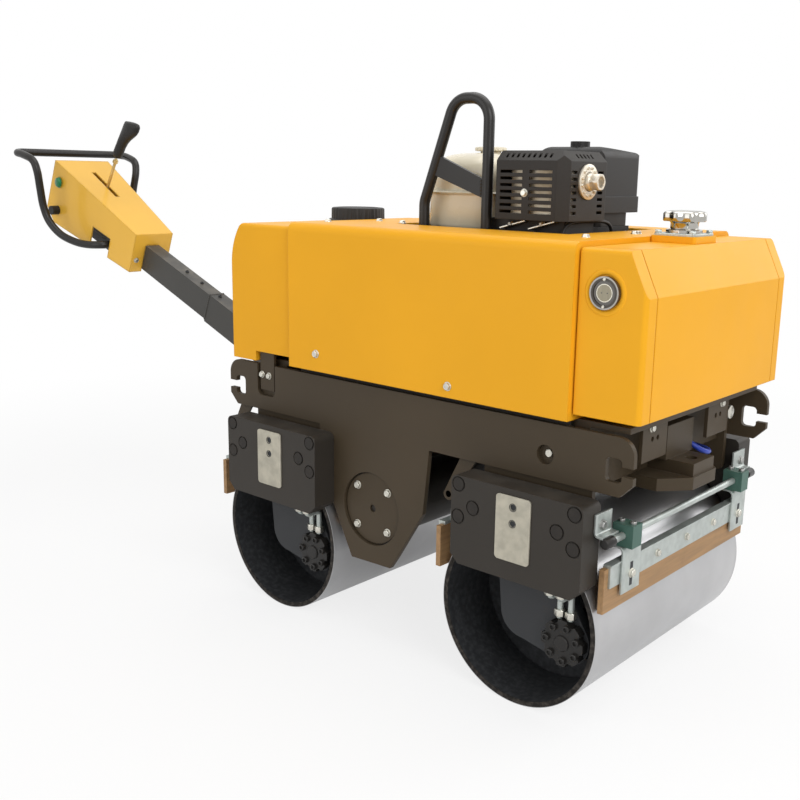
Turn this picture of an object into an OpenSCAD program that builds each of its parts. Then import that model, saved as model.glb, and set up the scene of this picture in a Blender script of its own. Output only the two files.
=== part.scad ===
// Walk-behind road roller with two drums. Millimetres; +X forward, +Y to its left, +Z up.

/* [Drums] */
// Outer diameter of both drums
drum_d = 390; // [360:1:420]
// Width of both drums
drum_w = 650; // [620:1:680]
// Wall of the drum shell
drum_wall = 12; // [8:1:16]
// Distance between the two drum axes
wheelbase = 735; // [715:1:755]
// Depth of the webs in from the rims
web_in = 150; // [130:1:170]
// Thickness of the webs
web_t = 12; // [8:1:16]
// Length of the bearing hubs in the webs
hub_len = 50; // [40:1:60]
// Outer diameter of the bearing hubs
hub_d = 92; // [80:1:100]
// Diameter of the stub axles
axle_d = 44; // [36:1:50]
// Width of the collar that seats a stub axle on its leg
axle_collar = 8; // [5:1:12]
// Radial play of a bore on its pin
run_clear = 0.05; // [0.02:0.01:0.1]

/* [Frame] */
// Distance of the side plates in from the drum rims
rim_inset = 12; // [8:1:18]
// Thickness of the side plates
plate_t = 12; // [8:1:14]
// How far the frame stands forward of the drum axes
frame_fwd = 22; // [10:1:30]
// How far the tie-down hooks reach past the drums
hook_over = 29.5; // [20:0.5:40]
// Gap between the drums and the lower edge of the side plates
arm_over = 113; // [105:1:120]
// Height of the side plates at the hooks
arm_h = 117; // [110:1:124]
// Radius of the upper corners of the hooks
hook_r = 36; // [28:1:44]
// Height of the hook slots over the lower edge of the side plates
slot_up = 51; // [46:1:56]
// Height of the mouth of a hook slot
slot_mouth = 19; // [15:1:24]
// Height of the wide part of a hook slot
slot_h = 48; // [40:1:54]
// Length of the wide part of a hook slot
slot_w = 36; // [28:1:42]
// Length of the mouth of a hook slot
slot_neck = 24; // [18:1:30]
// Radius of the corners of a hook slot
slot_r = 10; // [6:1:14]
// Diameter of the round hole behind the front hooks
eye_d = 40; // [32:1:46]
// Distance of that hole from the hook end
eye_in = 198; // [185:1:210]
// Distance of the upper notch from the rear hook end
notch_in = 141; // [130:1:150]
// Width of the upper notch
notch_w = 66; // [56:1:74]
// Depth of the upper notch
notch_deep = 80; // [70:1:88]
// Radius of the corners of the upper notch
notch_r = 16; // [10:1:22]
// Gap between the side plates and the hood
hood_up = 14; // [13:1:18]
// Thickness of the deck plate
deck_t = 12; // [8:1:13]
// Depth of the two cross beams along the machine
beam_w = 80; // [60:1:90]
// How far the cross beams reach below the side plates
beam_drop = 13; // [8:1:18]
// Distance of the cross beams in from the hook ends
beam_in = 152; // [145:1:160]
// Distance of the deck pads in from the side plates
pad_in = 101; // [90:1:110]
// Size of the deck pads
pad_s = 60; // [50:1:70]

/* [Belly] */
// Gap between the inner scraper of the rear drum and the exciter case
case_gap = 17.5; // [14:0.5:24]
// Diameter of the exciter case
case_d = 150; // [130:1:160]
// Diameter of the end flanges of the exciter case
flange_d = 190; // [186:1:196]
// Thickness of the end flanges of the exciter case
flange_t = 8; // [6:1:10]
// Depth of the exciter axis below the top of the drums
cover_drop = 63; // [55:1:70]
// Diameter of the round openings in the belly
cover_d = 176; // [165:1:182]
// Radial play of the covers in their openings
cover_play = 3; // [2:0.5:5]
// Depth of the covers behind the outer face of the plates
cover_in = 7; // [4:1:9]
// Diameter of the hole in the middle of a cover
cover_hole = 18; // [12:1:24]
// Clearance between the belly and what turns or scrapes beside it
belly_gap = 10; // [6:1:14]

/* [Support boxes] */
// Length of a support box
box_l = 320; // [300:1:330]
// Height of a support box
box_h = 192; // [180:1:200]
// Gap between the support boxes and the lower edge of the side plates
box_drop = 14; // [10:1:20]
// Depth of a support box outside the drum rim
box_depth = 45; // [38:1:52]
// Gap between drum rim and support box
box_gap = 6; // [5:1:9]
// Radius of the upper corners of a support box
box_r = 14; // [8:1:20]
// Bevel of the lower corners of a support box
box_bevel = 20; // [12:1:28]
// Clearance of the arch in the back of a support box round the drum
arch_gap = 10; // [8:1:14]
// Diameter of the rubber discs on the box faces
disc_d = 27; // [22:1:30]
// Play of the rubber discs in their recesses
disc_play = 3; // [2:0.5:4]
// Depth of the recesses of the rubber discs
disc_deep = 3; // [2:0.5:5]
// Distance of the outer rubber discs in from the ends of a box
disc_in = 19; // [17:1:24]
// Diameter of the rubber mounts behind the boxes
mount_d = 56; // [48:1:60]
// Distance of the rubber mounts in from the ends of a box
mount_in = 76; // [66:1:84]
// Clearance between the rubber mounts and the belly
mount_play = 4; // [3:1:8]
// Length of the bare plates along the box
tag_l = 84; // [76:1:90]
// Height of the bare plates
tag_h = 137; // [125:1:145]
// Thickness of the bare plates
tag_t = 3; // [2:0.5:4]

/* [Drum legs] */
// Thickness of the legs
leg_t = 24; // [18:1:28]
// Distance of the legs in from the rims
leg_in = 25; // [20:1:30]
// Half of the width of a leg at its top
leg_half = 70; // [60:1:76]
// Height of the foot that joins a leg to its box
leg_foot = 46; // [40:1:48]
// Width of the ring of a leg round its bearing hub
leg_ring = 9; // [6:1:12]
// Clearance between a motor pad and the inside of the drum
motor_clear = 14.5; // [10:0.5:18]
// Angle of the drive motors below the level of the drum axis
motor_angle = 12; // [8:1:16]
// Diameter of a drive motor body
motor_d = 84; // [76:1:88]
// Length of a drive motor body behind its leg
motor_l = 62; // [50:1:62]
// Diameter of a motor end cap
cap_d = 100; // [94:1:104]
// Thickness of a motor end cap
cap_t = 20; // [14:1:22]
// Width of the pad of a leg round the motor end cap
pad_ring = 3; // [2:0.5:5]
// Diameter of the motor hoses
hose_d = 13; // [10:1:15]

/* [Bodywork] */
// Height of the middle hood
hood_h = 344; // [335:1:355]
// How far the sides of the hood stand out over the side plates
hood_over = 17; // [12:1:22]
// Radius of the long edges of the middle hood
hood_r = 22; // [14:1:30]
// Sheet of the middle hood and of the control box
sheet_t = 4; // [3:0.5:6]
// Gap between hood and tanks
hood_gap = 4; // [3:1:6]
// How far the sides of both tanks stand out over the side plates
tank_over = 4; // [1:1:7]
// Drop of the tank tops below the top of the hood
tank_drop = 11; // [8:1:14]
// Radius of the long edges of both tanks
tank_r = 10; // [6:1:14]
// Length of the water tank
tank_l = 144; // [138:1:150]
// How far the water tank stands forward of the hooks
tank_fwd = 8; // [4:1:12]
// Height of the lower face of the water tank over the hood's lower edge
tank_up = 14; // [10:1:18]
// Height of the ridge on the front of the water tank over the hood's lower edge
ridge_up = 248; // [238:1:256]
// How far the top of the water tank stands back from its front
ridge_back = 40; // [34:1:46]
// Distance of the seams of the water tank from its sides
seam_in = 37; // [30:1:44]
// Width of the seams of the water tank
seam_w = 3; // [2:0.5:4]
// Depth of the seams of the water tank
seam_deep = 2; // [1:0.5:3]
// Length of the oil tank
oil_l = 222; // [214:1:230]
// Distance of the oil tank in from the rear hook ends
oil_in = 21; // [16:1:26]
// How far the rear of the oil tank reaches below the hood's lower edge
oil_low = 7; // [4:1:9]
// Rise of the lower face of the oil tank ahead of its rear
oil_step = 25; // [20:1:30]
// Radius of the rear edge of the oil tank
oil_r = 156; // [140:1:170]
// Height of the curved part of the oil tank
oil_curve = 102; // [94:1:110]
// Thickness of the sheet brackets under the tanks
bracket_t = 8; // [5:1:10]
// Diameter of the side lamps
lamp_d = 62; // [56:1:68]
// Diameter of the lamp lenses
lens_d = 46; // [40:1:50]
// How far the side lamps stand out
lamp_out = 6; // [4:1:8]
// Distance of the side lamps from the front of the water tank
lamp_back = 87; // [80:1:94]
// Height of the side lamps over the ridge of the water tank
lamp_up = 5; // [0:1:10]
// Depth of the recesses of the side lamps
lamp_deep = 3; // [2:0.5:4]
// Distance of the filler from the front of the water tank
filler_back = 98; // [92:1:104]
// Size of the filler flange
filler_s = 100; // [92:1:108]
// Thickness of the filler flange
filler_t = 14; // [10:1:18]
// Diameter of the knob on the filler
knob_d = 74; // [68:1:80]
// Height of the knob on the filler
knob_h = 24; // [20:1:28]

/* [Engine] */
// Rear edge of the opening in the hood
open_rear_x = -150; // [-156:1:-144]
// Front edge of the opening in the hood
open_front_x = 338; // [332:1:344]
// Right edge of the opening in the hood
open_right_y = -145; // [-150:1:-141]
// Left edge of the opening in the hood
open_left_y = 212; // [208:1:218]
// Rear of the muffler guard
muff_rear_x = 150; // [144:1:156]
// Front of the muffler guard
muff_front_x = 326; // [320:1:330]
// Right face of the muffler guard
muff_right_y = -150; // [-156:1:-144]
// Left face of the muffler guard
muff_left_y = 12; // [8:1:16]
// Height of the lower edge of the muffler guard over the hood
muff_up = 24; // [20:1:28]
// Height of the muffler guard
muff_h = 145; // [138:1:152]
// Bevel of the guard along its upper and front edges
muff_bevel = 21; // [15:1:25]
// Sheet of the muffler guard
muff_t = 3; // [2:0.5:4]
// Height of a slot in the muffler guard
louvre_h = 6; // [4:0.5:8]
// Length of a slot in the near face of the muffler guard
louvre_l = 58; // [50:1:64]
// Distance from one row of slots to the next
louvre_step = 14; // [12:0.5:16]
// Place of the exhaust outlet from the right face of the guard
outlet_in = 87; // [80:1:94]
// Height of the exhaust outlet over the lower edge of the guard
outlet_up = 82; // [76:1:88]
// Diameter of the flange of the exhaust outlet
outlet_d = 74; // [68:1:80]
// Rear of the air cleaner
air_rear_x = 132; // [128:1:138]
// Front of the air cleaner
air_front_x = 306; // [300:1:312]
// Right face of the air cleaner
air_right_y = 24; // [20:1:28]
// Left face of the air cleaner
air_left_y = 206; // [200:1:212]
// Height of the lower face of the air cleaner over the hood
air_up = 7; // [4:1:12]
// Height of the air cleaner
air_h = 175; // [168:1:182]
// Fall of the top of the air cleaner to the left
air_fall = 10; // [6:1:14]
// Rear of the fuel tank
fuel_rear_x = -125; // [-130:1:-120]
// Front of the fuel tank
fuel_front_x = 100; // [94:1:106]
// Right face of the fuel tank
fuel_right_y = -98; // [-102:1:-94]
// Left face of the fuel tank
fuel_left_y = 160; // [154:1:166]
// Depth of the lower face of the fuel tank below the top of the hood
fuel_drop = 10; // [6:1:14]
// Height of the fuel tank
fuel_h = 164; // [156:1:172]
// Height of the seam over the lower face of the fuel tank
fuel_seam = 84; // [78:1:90]
// Width of the seam lip of the fuel tank
fuel_lip = 8; // [6:1:10]
// Radius of the upper edges of the fuel tank
fuel_r = 40; // [30:1:48]

/* [Lift hoop] */
// Diameter of the tube of the lift hoop
hoop_d = 25; // [22:1:28]
// Distance of the hoop from the middle plane, to the right
hoop_y = 122; // [119:1:126]
// Height of the hoop over the hood
hoop_h = 294; // [284:1:304]
// Rear foot of the hoop
hoop_rear_x = -78; // [-84:1:-72]
// Front foot of the hoop
hoop_front_x = 105; // [99:1:111]
// Height over the hood where the rear leg of the hoop bends
hoop_knee = 52; // [46:1:60]
// Lean of the rear leg of the hoop up to its top bend
hoop_lean = 86; // [78:1:94]
// Radius of the bends of the hoop
hoop_r = 48; // [40:1:54]
// Clearance between the hoop and the engine
hoop_clear = 6; // [4:1:10]
// Thickness of the gusset of the hoop
gusset_t = 10; // [8:1:12]

/* [Scrapers] */
// Diameter of the scraper rods
rod_d = 15; // [12:1:18]
// Distance of a rod ahead of the drum
rod_out = 12; // [8:1:15]
// Height of the scraper rods over the drums
rod_up = 22; // [16:1:28]
// How far the front rod stands out past the rims
rod_over = 9; // [7:1:14]
// Thickness of the scraper boards
board_t = 12; // [8:1:14]
// Height of the scraper boards
board_h = 92; // [84:1:98]
// Distance of the ends of the front board in from the rims
board_in = 6; // [4:1:12]
// How far the rear boards reach past the rims
board_over = 20; // [12:1:26]
// Gap between the inner board of the rear drum and the exciter flanges
board_play = 6; // [4:1:10]
// Gap between board and drum
board_gap = 6; // [5:1:8]
// Angle of the board edge above the drum axis
board_angle = 19; // [17:1:21]
// Size of the square clamp blocks
clamp_s = 46; // [40:1:50]
// Length of the clamp blocks along the rod
clamp_l = 36; // [30:1:40]
// Distance of the clamp blocks in from the side plates
clamp_in = 51; // [44:1:58]
// Thickness of the scraper sheet parts
strap_t = 5; // [4:0.5:6]
// Height of the lower end of the straps over the board edge
strap_up = 28; // [22:1:34]
// Height of the board channels
channel_h = 46; // [40:1:52]
// How much shorter a channel is than its board, at each end
channel_in = 14; // [8:1:20]
// Height of the front rod brackets
rod_plate_h = 72; // [64:1:80]
// Depth of the front rod brackets below the rod axis
rod_plate_low = 14; // [11:1:18]
// Width of the rod hangers at the side plates
hanger_w = 48; // [40:1:56]
// Radius of the rod hangers round the rod
hanger_r = 14; // [12:1:17]
// Radial play of the rods in their clamps and brackets
rod_play = 0.3; // [0.2:0.1:0.6]

/* [Hitch and pivot] */
// Distance of the front edge of the hitch behind the front of the hooks
hitch_in = 2; // [0:1:6]
// Thickness of a hitch plate
hitch_t = 27; // [22:1:28]
// Width of the lower hitch plate
hitch_w = 224; // [210:1:236]
// Width of the upper hitch plate
tongue_w = 94; // [86:1:102]
// Diameter of the hole for a hitch pin
hitch_pin_d = 26; // [22:1:30]
// Distance of that hole from the front edge of the hitch
hitch_pin_in = 34; // [30:1:40]
// How far the handle pivot stands behind the rear hooks
pivot_over = 42; // [36:1:48]
// Height of the handle pivot over the lower edge of the side plates
pivot_up = 7; // [2:1:12]
// Diameter of the handle pivot pin
pin_d = 25; // [20:1:28]
// Width of the heads of the pivot pin
pin_head = 10; // [8:1:12]
// Thickness of a fork plate
fork_t = 12; // [10:1:14]
// Radius of the fork plates round the pin
fork_r = 34; // [30:1:38]
// Clearance between the drawbar and the fork plates
fork_clear = 7; // [6:1:9]

/* [Handle] */
// Slope of the drawbar as it stands
bar_tilt = 21.8; // [20:0.1:24]
// Width of the drawbar
bar_w = 50; // [46:1:56]
// Height of the drawbar
bar_h = 82; // [76:1:88]
// Depth of the lower edge of the drawbar below its pivot
bar_low = 44; // [40:1:48]
// Length of the lower sleeve of the drawbar
sleeve_l = 461; // [440:1:480]
// Thickness of the lower sleeve of the drawbar
sleeve_t = 6; // [4:1:8]
// Distance from the pivot to the front of the control box
ctrl_from = 817; // [800:1:830]
// Length of the control box along the drawbar
ctrl_len = 470; // [460:1:480]
// Length of the drawbar inside the control box
bar_in = 400; // [380:1:420]
// Width of the control box at its front
ctrl_w1 = 140; // [132:1:148]
// Width of the control box at its rear
ctrl_w2 = 202; // [194:1:210]
// Height of the top of the control box at its front, over the pivot line
ctrl_top1 = 78; // [70:1:86]
// Height of the top of the control box at its rear, over the pivot line
ctrl_top2 = 138; // [130:1:146]
// Diameter of the handlebar tube
grip_d = 25; // [22:1:28]
// Half of the width of the handlebar to its tube axis
grip_half = 203; // [195:1:211]
// Distance from the pivot to the cross tube of the handlebar
grip_reach = 1370; // [1362:1:1380]
// Height of the cross tube of the handlebar over the pivot line
grip_up = 130; // [124:1:136]
// Radius of the bends of the handlebar
grip_r = 34; // [30:1:38]
// Length of the slot for the travel lever
slit_l = 157; // [145:1:165]
// Width of the slot for the travel lever
slit_w = 14; // [12:1:18]
// Distance of the travel lever from the front of the control box
lever_from = 311; // [300:1:322]
// Lean of the travel lever
lever_lean = 11; // [8:1:14]
// Diameter of the travel lever rod
lever_d = 10; // [8:1:12]
// Length of the travel lever rod
lever_l = 188; // [178:1:198]
// Length of the lever grip
lever_grip_l = 133; // [122:1:142]

/* [Hidden] */
$fn = 96;
drum_r = drum_d / 2;
fx = wheelbase / 2;
rim = drum_w / 2;
frame_half = rim - rim_inset;
arm_in = frame_half - plate_t;
cross_half = arm_in - plate_t;
hook_half = fx + drum_r + hook_over;
hook_front_x = frame_fwd + hook_half;
hook_rear_x = frame_fwd - hook_half;
arm_bottom = drum_d + arm_over;
plate_top = arm_bottom + arm_h;
slot_z = arm_bottom + slot_up;
notch_x = hook_rear_x + notch_in;
hood_bottom = plate_top + hood_up;
deck_z = hood_bottom - deck_t;
beam_half = hook_half - beam_in;
beam_bottom = arm_bottom - beam_drop;
cover_z = drum_d - cover_drop;
box_in = rim + box_gap;
box_half = box_in + box_depth;
box_top = arm_bottom - box_drop;
box_bottom = box_top - box_h;
box_mid_z = box_top - box_h / 2;
mount_z = box_top - mount_d / 2 - 10;
leg_out = rim - leg_in;
leg_back = leg_out - leg_t;
leg_top = box_bottom + leg_foot + 2;
web_y = rim - web_in;
motor_out = drum_r - drum_wall - motor_clear - cap_d / 2 - pad_ring;
motor_fwd = motor_out * cos(motor_angle);
motor_down = motor_out * sin(motor_angle);
axle_bore = axle_d + 2 * run_clear;
hood_half = frame_half + hood_over;
hood_top = hood_bottom + hood_h;
tank_half = frame_half + tank_over;
tank_top = hood_top - tank_drop;
tank_front_x = hook_front_x + tank_fwd;
tank_bottom = hood_bottom + tank_up;
ridge_z = hood_bottom + ridge_up;
hood_front_x = tank_front_x - tank_l - hood_gap;
oil_rear_x = hook_rear_x + oil_in;
oil_front_x = oil_rear_x + oil_l;
hood_rear_x = oil_front_x + hood_gap;
muff_bottom = hood_top + muff_up;
muff_top = muff_bottom + muff_h;
air_bottom = hood_top + air_up;
fuel_bottom = hood_top - fuel_drop;
hitch_front_x = hook_front_x - hitch_in;
pivot_back = pivot_over - hook_rear_x;
pivot_z = arm_bottom + pivot_up;
bend_lap = 0.5;
bend_full = 0.1;
edge_r = drum_r + board_gap;
board_x = edge_r * cos(board_angle) + board_t;
board_z = drum_r + edge_r * sin(board_angle);
rod_off = drum_r + rod_out;
rod_z = drum_d + rod_up;
clamp_y = arm_in - clamp_in;
strap_x = rod_off + clamp_s / 2;
scraper_reach = strap_x + strap_t;
cover_x = -fx + board_x + 2 * strap_t + case_gap + case_d / 2;
ctrl_end = ctrl_from + ctrl_len;
rear_x = -pivot_back - grip_reach * cos(bar_tilt) + grip_up * sin(bar_tilt);
bbox_front = max(tank_front_x, hook_front_x, hitch_front_x, fx + scraper_reach);
bbox_rear = rear_x - grip_d / 2;
x_mid = (bbox_front + bbox_rear) / 2;

yellow = [0.93, 0.66, 0.16];
frame_grey = [0.27, 0.24, 0.21];
charcoal = [0.22, 0.21, 0.2];
black = [0.1, 0.1, 0.1];
steel = [0.75, 0.76, 0.78];
zinc = [0.7, 0.74, 0.74];
cream = [0.93, 0.92, 0.86];

// Moves from the middle of the drums to the middle of the whole length
module place() {
  translate([-x_mid, 0, 0]) children();
}

// Children once on the right and once mirrored on the left
module both() {
  children();
  mirror([0, 1, 0]) children();
}

// Raises an outline drawn in x and z into a slab between two values of y
module slab(ya, yb) {
  translate([0, yb, 0]) rotate([90, 0, 0]) linear_extrude(yb - ya) children();
}

// Raises an outline drawn in y and z into a length between two values of x
module run_x(xa, xb) {
  translate([xa, 0, 0]) rotate([90, 0, 90]) linear_extrude(xb - xa) children();
}

// Rectangle with round corners, centred
module rounded(w, h, r) {
  square([w - 2 * r, h], center = true);
  square([w, h - 2 * r], center = true);
  for (i = [-1, 1], j = [-1, 1]) translate([i * (w / 2 - r), j * (h / 2 - r)]) circle(r);
}

// Outline that stands on its base line, with round upper corners
module crowned(w, h, r) {
  translate([-w / 2, 0]) square([w, h - r]);
  translate([-w / 2 + r, 0]) square([w - 2 * r, h]);
  for (s = [-1, 1]) translate([s * (w / 2 - r), h - r]) circle(r);
}

// Bar along y between two values of y
module bar_y(x, z, d, ya, yb) {
  translate([x, ya, z]) rotate([-90, 0, 0]) cylinder(d = d, h = yb - ya);
}

function unit(v) = v / norm(v);

// Turns z into u and x into w at the point c
module axes_at(w, v, u, c) {
  multmatrix([[w[0], v[0], u[0], c[0]], [w[1], v[1], u[1], c[1]], [w[2], v[2], u[2], c[2]], [0, 0, 0, 1]])
    children();
}

// Straight lengths and round bends along a list of points; the bends are a little fuller
module bent_tube(pts, d, r) {
  n = len(pts);
  cut = [for (i = [0:n - 1]) i == 0 || i == n - 1 ? 0 :
    r * tan(acos(unit(pts[i] - pts[i - 1]) * unit(pts[i + 1] - pts[i])) / 2)];
  for (i = [0:n - 2]) {
    u = unit(pts[i + 1] - pts[i]);
    side = unit(cross(abs(u[2]) < 0.9 ? [0, 0, 1] : [1, 0, 0], u));
    from = cut[i] - (i == 0 ? 0 : bend_lap);
    to = norm(pts[i + 1] - pts[i]) - cut[i + 1] + (i == n - 2 ? 0 : bend_lap);
    axes_at(side, cross(u, side), u, pts[i] + u * from) cylinder(d = d, h = to - from);
  }
  for (i = [1:n - 2]) {
    u = unit(pts[i] - pts[i - 1]);
    v = unit(pts[i + 1] - pts[i]);
    w = unit(v - u * (u * v));
    axes_at(-w, u, cross(u, w), pts[i] - u * cut[i] + w * r)
      rotate_extrude(angle = acos(u * v)) translate([r, 0]) circle(d = d + bend_full);
  }
}

// Outline of a side plate in x and z, without its belly
module arm_outline() {
  toe = slot_up - slot_h / 2;
  translate([frame_fwd, 0]) for (s = [-1, 1]) scale([s, 1]) difference() {
    union() {
      translate([0, arm_bottom]) square([hook_half - hook_r, arm_h]);
      polygon([[0, arm_bottom], [hook_half - toe, arm_bottom], [hook_half, arm_bottom + toe],
        [hook_half, plate_top - hook_r], [0, plate_top - hook_r]]);
      translate([hook_half - hook_r, plate_top - hook_r]) circle(hook_r);
    }
    translate([hook_half - slot_neck - slot_w / 2, slot_z]) rounded(slot_w, slot_h, slot_r);
    translate([hook_half - slot_neck - slot_r, slot_z - slot_mouth / 2])
      square([slot_neck + 2 * slot_r, slot_mouth]);
  }
}

// Trims an outline clear of the rear drum and of the front drum with its scraper
module clear_of_drums() {
  difference() {
    children();
    translate([fx, drum_r]) circle(r = scraper_reach + belly_gap);
    translate([-fx, drum_r]) circle(r = drum_r + belly_gap);
  }
}

// Trims an outline clear of the rubber mounts of both boxes
module clear_of_mounts() {
  difference() {
    children();
    for (b = [-1, 1], s = [-1, 1])
      translate([b * fx + frame_fwd + s * (box_l / 2 - mount_in), mount_z])
        circle(r = mount_d / 2 + mount_play);
  }
}

// Outline of the belly below the arms, about the exciter axis
module belly_outline() {
  up = arm_bottom + plate_t - cover_z;
  clear_of_mounts() clear_of_drums() translate([cover_x, cover_z])
    polygon([[177, up], [160, 24], [84, -99], [63, -130], [-62, -134], [-124, -15], [-168, 70], [-172, up]]);
}

// A side plate with hooks, belly, notch and the two carriers of the support boxes
module side_plate() {
  low = box_top - mount_d - 18;
  high = plate_top - 20;
  slab(-frame_half, -arm_in) difference() {
    union() {
      arm_outline();
      belly_outline();
    }
    translate([cover_x, cover_z]) circle(d = cover_d);
    translate([hook_front_x - eye_in, slot_z]) circle(d = eye_d);
    translate([notch_x, plate_top]) rounded(notch_w, 2 * notch_deep, notch_r);
  }
  for (s = [-1, 1]) slab(-arm_in, -cross_half)
    translate([s * fx + frame_fwd, (low + high) / 2]) rounded(box_l - mount_d, high - low, plate_t);
}

module frame_side_right() {
  place() color(frame_grey) side_plate();
}

module frame_side_left() {
  place() color(frame_grey) mirror([0, 1, 0]) side_plate();
}

module frame_cross() {
  deck_rear = notch_x - notch_w / 2 + 8;
  deck_front = tank_front_x - 32;
  place() color(frame_grey) {
    for (s = [-1, 1]) translate([frame_fwd + s * beam_half - beam_w / 2, -cross_half, beam_bottom])
      cube([beam_w, 2 * cross_half, deck_z - beam_bottom]);
    translate([deck_rear, -cross_half, deck_z]) cube([deck_front - deck_rear, 2 * cross_half, deck_t]);
    both() translate([0, -arm_in + pad_in - pad_s / 2, hood_bottom]) {
      translate([hood_front_x + pad_s / 2, 0, 0]) cube([pad_s, pad_s, tank_up]);
      translate([deck_rear + 4, 0, 0]) cube([pad_s, pad_s, oil_step - oil_low]);
    }
  }
}

module hitch() {
  back = frame_fwd + beam_half - beam_w / 2;
  face = back + beam_w;
  nose = hitch_pin_in + 18;
  place() color(frame_grey) difference() {
    union() {
      translate([0, 0, beam_bottom - hitch_t]) linear_extrude(hitch_t)
        polygon([[back, -hitch_w / 2], [hitch_front_x - nose, -hitch_w / 2], [hitch_front_x, -nose],
          [hitch_front_x, nose], [hitch_front_x - nose, hitch_w / 2], [back, hitch_w / 2]]);
      translate([face, -tongue_w / 2, beam_bottom]) cube([hitch_front_x - 4 - face, tongue_w, hitch_t]);
      translate([face, -tongue_w / 2 - 12, beam_bottom + hitch_t])
        cube([hitch_front_x - nose - 10 - face, tongue_w + 24, deck_z - beam_bottom - hitch_t - 31]);
    }
    translate([hitch_front_x - hitch_pin_in, 0, beam_bottom - hitch_t - 1])
      cylinder(d = hitch_pin_d, h = 2 * hitch_t + 2);
  }
}

module pivot_fork() {
  face = frame_fwd - beam_half - beam_w / 2 - fork_t;
  inner = face + fork_t / 2;
  y1 = bar_w / 2 + fork_clear;
  place() color(frame_grey) {
    translate([face, -y1 - fork_r, beam_bottom])
      cube([fork_t, 2 * y1 + 2 * fork_r, deck_z - beam_bottom - 6]);
    both() slab(-y1 - fork_t, -y1) difference() {
      union() {
        translate([-pivot_back, pivot_z]) circle(r = fork_r);
        polygon([[-pivot_back, pivot_z + fork_r], [inner, pivot_z + 2 * fork_r], [inner, beam_bottom],
          [-pivot_back, pivot_z - fork_r]]);
      }
      translate([-pivot_back, pivot_z]) circle(d = pin_d + 2 * rod_play);
    }
  }
}

module pivot_pin() {
  y1 = bar_w / 2 + fork_clear + fork_t;
  place() color(steel) {
    bar_y(-pivot_back, pivot_z, pin_d, -y1 - pin_head, y1 + pin_head);
    both() bar_y(-pivot_back, pivot_z, pin_d + 12, -y1 - pin_head, -y1);
  }
}

module exciter_case() {
  place() color(black) {
    bar_y(cover_x, cover_z, case_d, -arm_in, arm_in);
    both() slab(-arm_in, -arm_in + flange_t) clear_of_drums()
      translate([cover_x, cover_z]) circle(d = flange_d);
  }
}

module exciter_covers() {
  place() color(frame_grey) both() difference() {
    bar_y(cover_x, cover_z, cover_d - 2 * cover_play, -frame_half + cover_in, -arm_in);
    bar_y(cover_x, cover_z, cover_hole, -frame_half, -arm_in + 1);
  }
}

// Children at each of the four support boxes, seen from the right and mirrored to the left
module at_boxes() {
  both() for (s = [-1, 1]) translate([s * fx + frame_fwd, 0, 0]) children();
}

// Children at each of the four drum ends, on the drum axis
module at_ends() {
  both() for (s = [-1, 1]) translate([s * fx, 0, drum_r]) children();
}

// Outline of a support box about its middle
module box_outline() {
  w = box_l / 2;
  h = box_h / 2;
  polygon([[-w, h - box_r], [-w, box_bevel - h], [box_bevel - w, -h], [w - box_bevel, -h], [w, box_bevel - h],
    [w, h - box_r]]);
  translate([-w + box_r, 0]) square([box_l - 2 * box_r, h]);
  for (s = [-1, 1]) translate([s * (w - box_r), h - box_r]) circle(box_r);
}

// Children at the six rubber discs of a box
module at_discs() {
  for (s = [-1, 1], p = [[disc_in, 18], [disc_in, 88], [disc_in + 38, 62]])
    translate([s * (box_l / 2 - p[0]), 0, box_top - p[1]]) children();
}

module support_boxes() {
  place() color(charcoal) at_boxes() {
    difference() {
      slab(-box_half, -box_in) translate([0, box_mid_z]) box_outline();
      at_discs() bar_y(0, 0, disc_d + 2 * disc_play, -box_half - 1, -box_half + disc_deep);
    }
    slab(-box_in, -frame_half) difference() {
      translate([0, box_mid_z]) box_outline();
      translate([-frame_fwd, drum_r]) circle(r = drum_r + arch_gap);
    }
  }
}

module rubber_mounts() {
  place() color(black) at_boxes() {
    at_discs() bar_y(0, 0, disc_d, -box_half - 1, -box_half + disc_deep);
    for (s = [-1, 1])
      bar_y(s * (box_l / 2 - mount_in), mount_z, mount_d, -frame_half, -arm_in);
  }
}

module box_plates() {
  place() color(steel) at_boxes() slab(-box_half - tag_t, -box_half)
    translate([0, box_mid_z + 14]) difference() {
    rounded(tag_l, tag_h, 8);
    for (z = [12, 46]) translate([0, z]) circle(d = 13);
  }
}

// Outline of a drum leg about the drum axis
module leg_outline(motor) {
  t = leg_top - drum_r;
  ring = hub_d / 2 + leg_ring;
  pad = cap_d / 2 + pad_ring;
  difference() {
    union() {
      circle(r = ring);
      polygon([[-leg_half, t], [leg_half, t], [ring, 0], [0, -ring], [-ring, 0]]);
      if (motor) {
        translate([motor_fwd, -motor_down]) circle(r = pad);
        polygon([[leg_half, t], [motor_fwd + pad - 7, 0], [motor_fwd, -motor_down - pad], [0, -ring],
          [0, t]]);
      }
    }
    if (motor) translate([motor_fwd, -motor_down]) circle(d = motor_d);
  }
}

module leg(motor) {
  slab(-leg_out, -leg_back) leg_outline(motor);
  translate([-leg_half, -box_in, leg_top - drum_r - leg_foot])
    cube([2 * leg_half, box_in - leg_out, leg_foot]);
}

module drum_legs() {
  place() color(charcoal) for (s = [-1, 1]) translate([s * fx, 0, drum_r]) {
    leg(true);
    mirror([0, 1, 0]) leg(false);
  }
}

module drum_axles() {
  place() color(steel) at_ends() {
    bar_y(0, 0, axle_d + 2 * axle_collar, -leg_back, -leg_back + axle_collar);
    bar_y(0, 0, axle_d, -leg_back, -web_y + web_t + axle_collar);
  }
}

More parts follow.
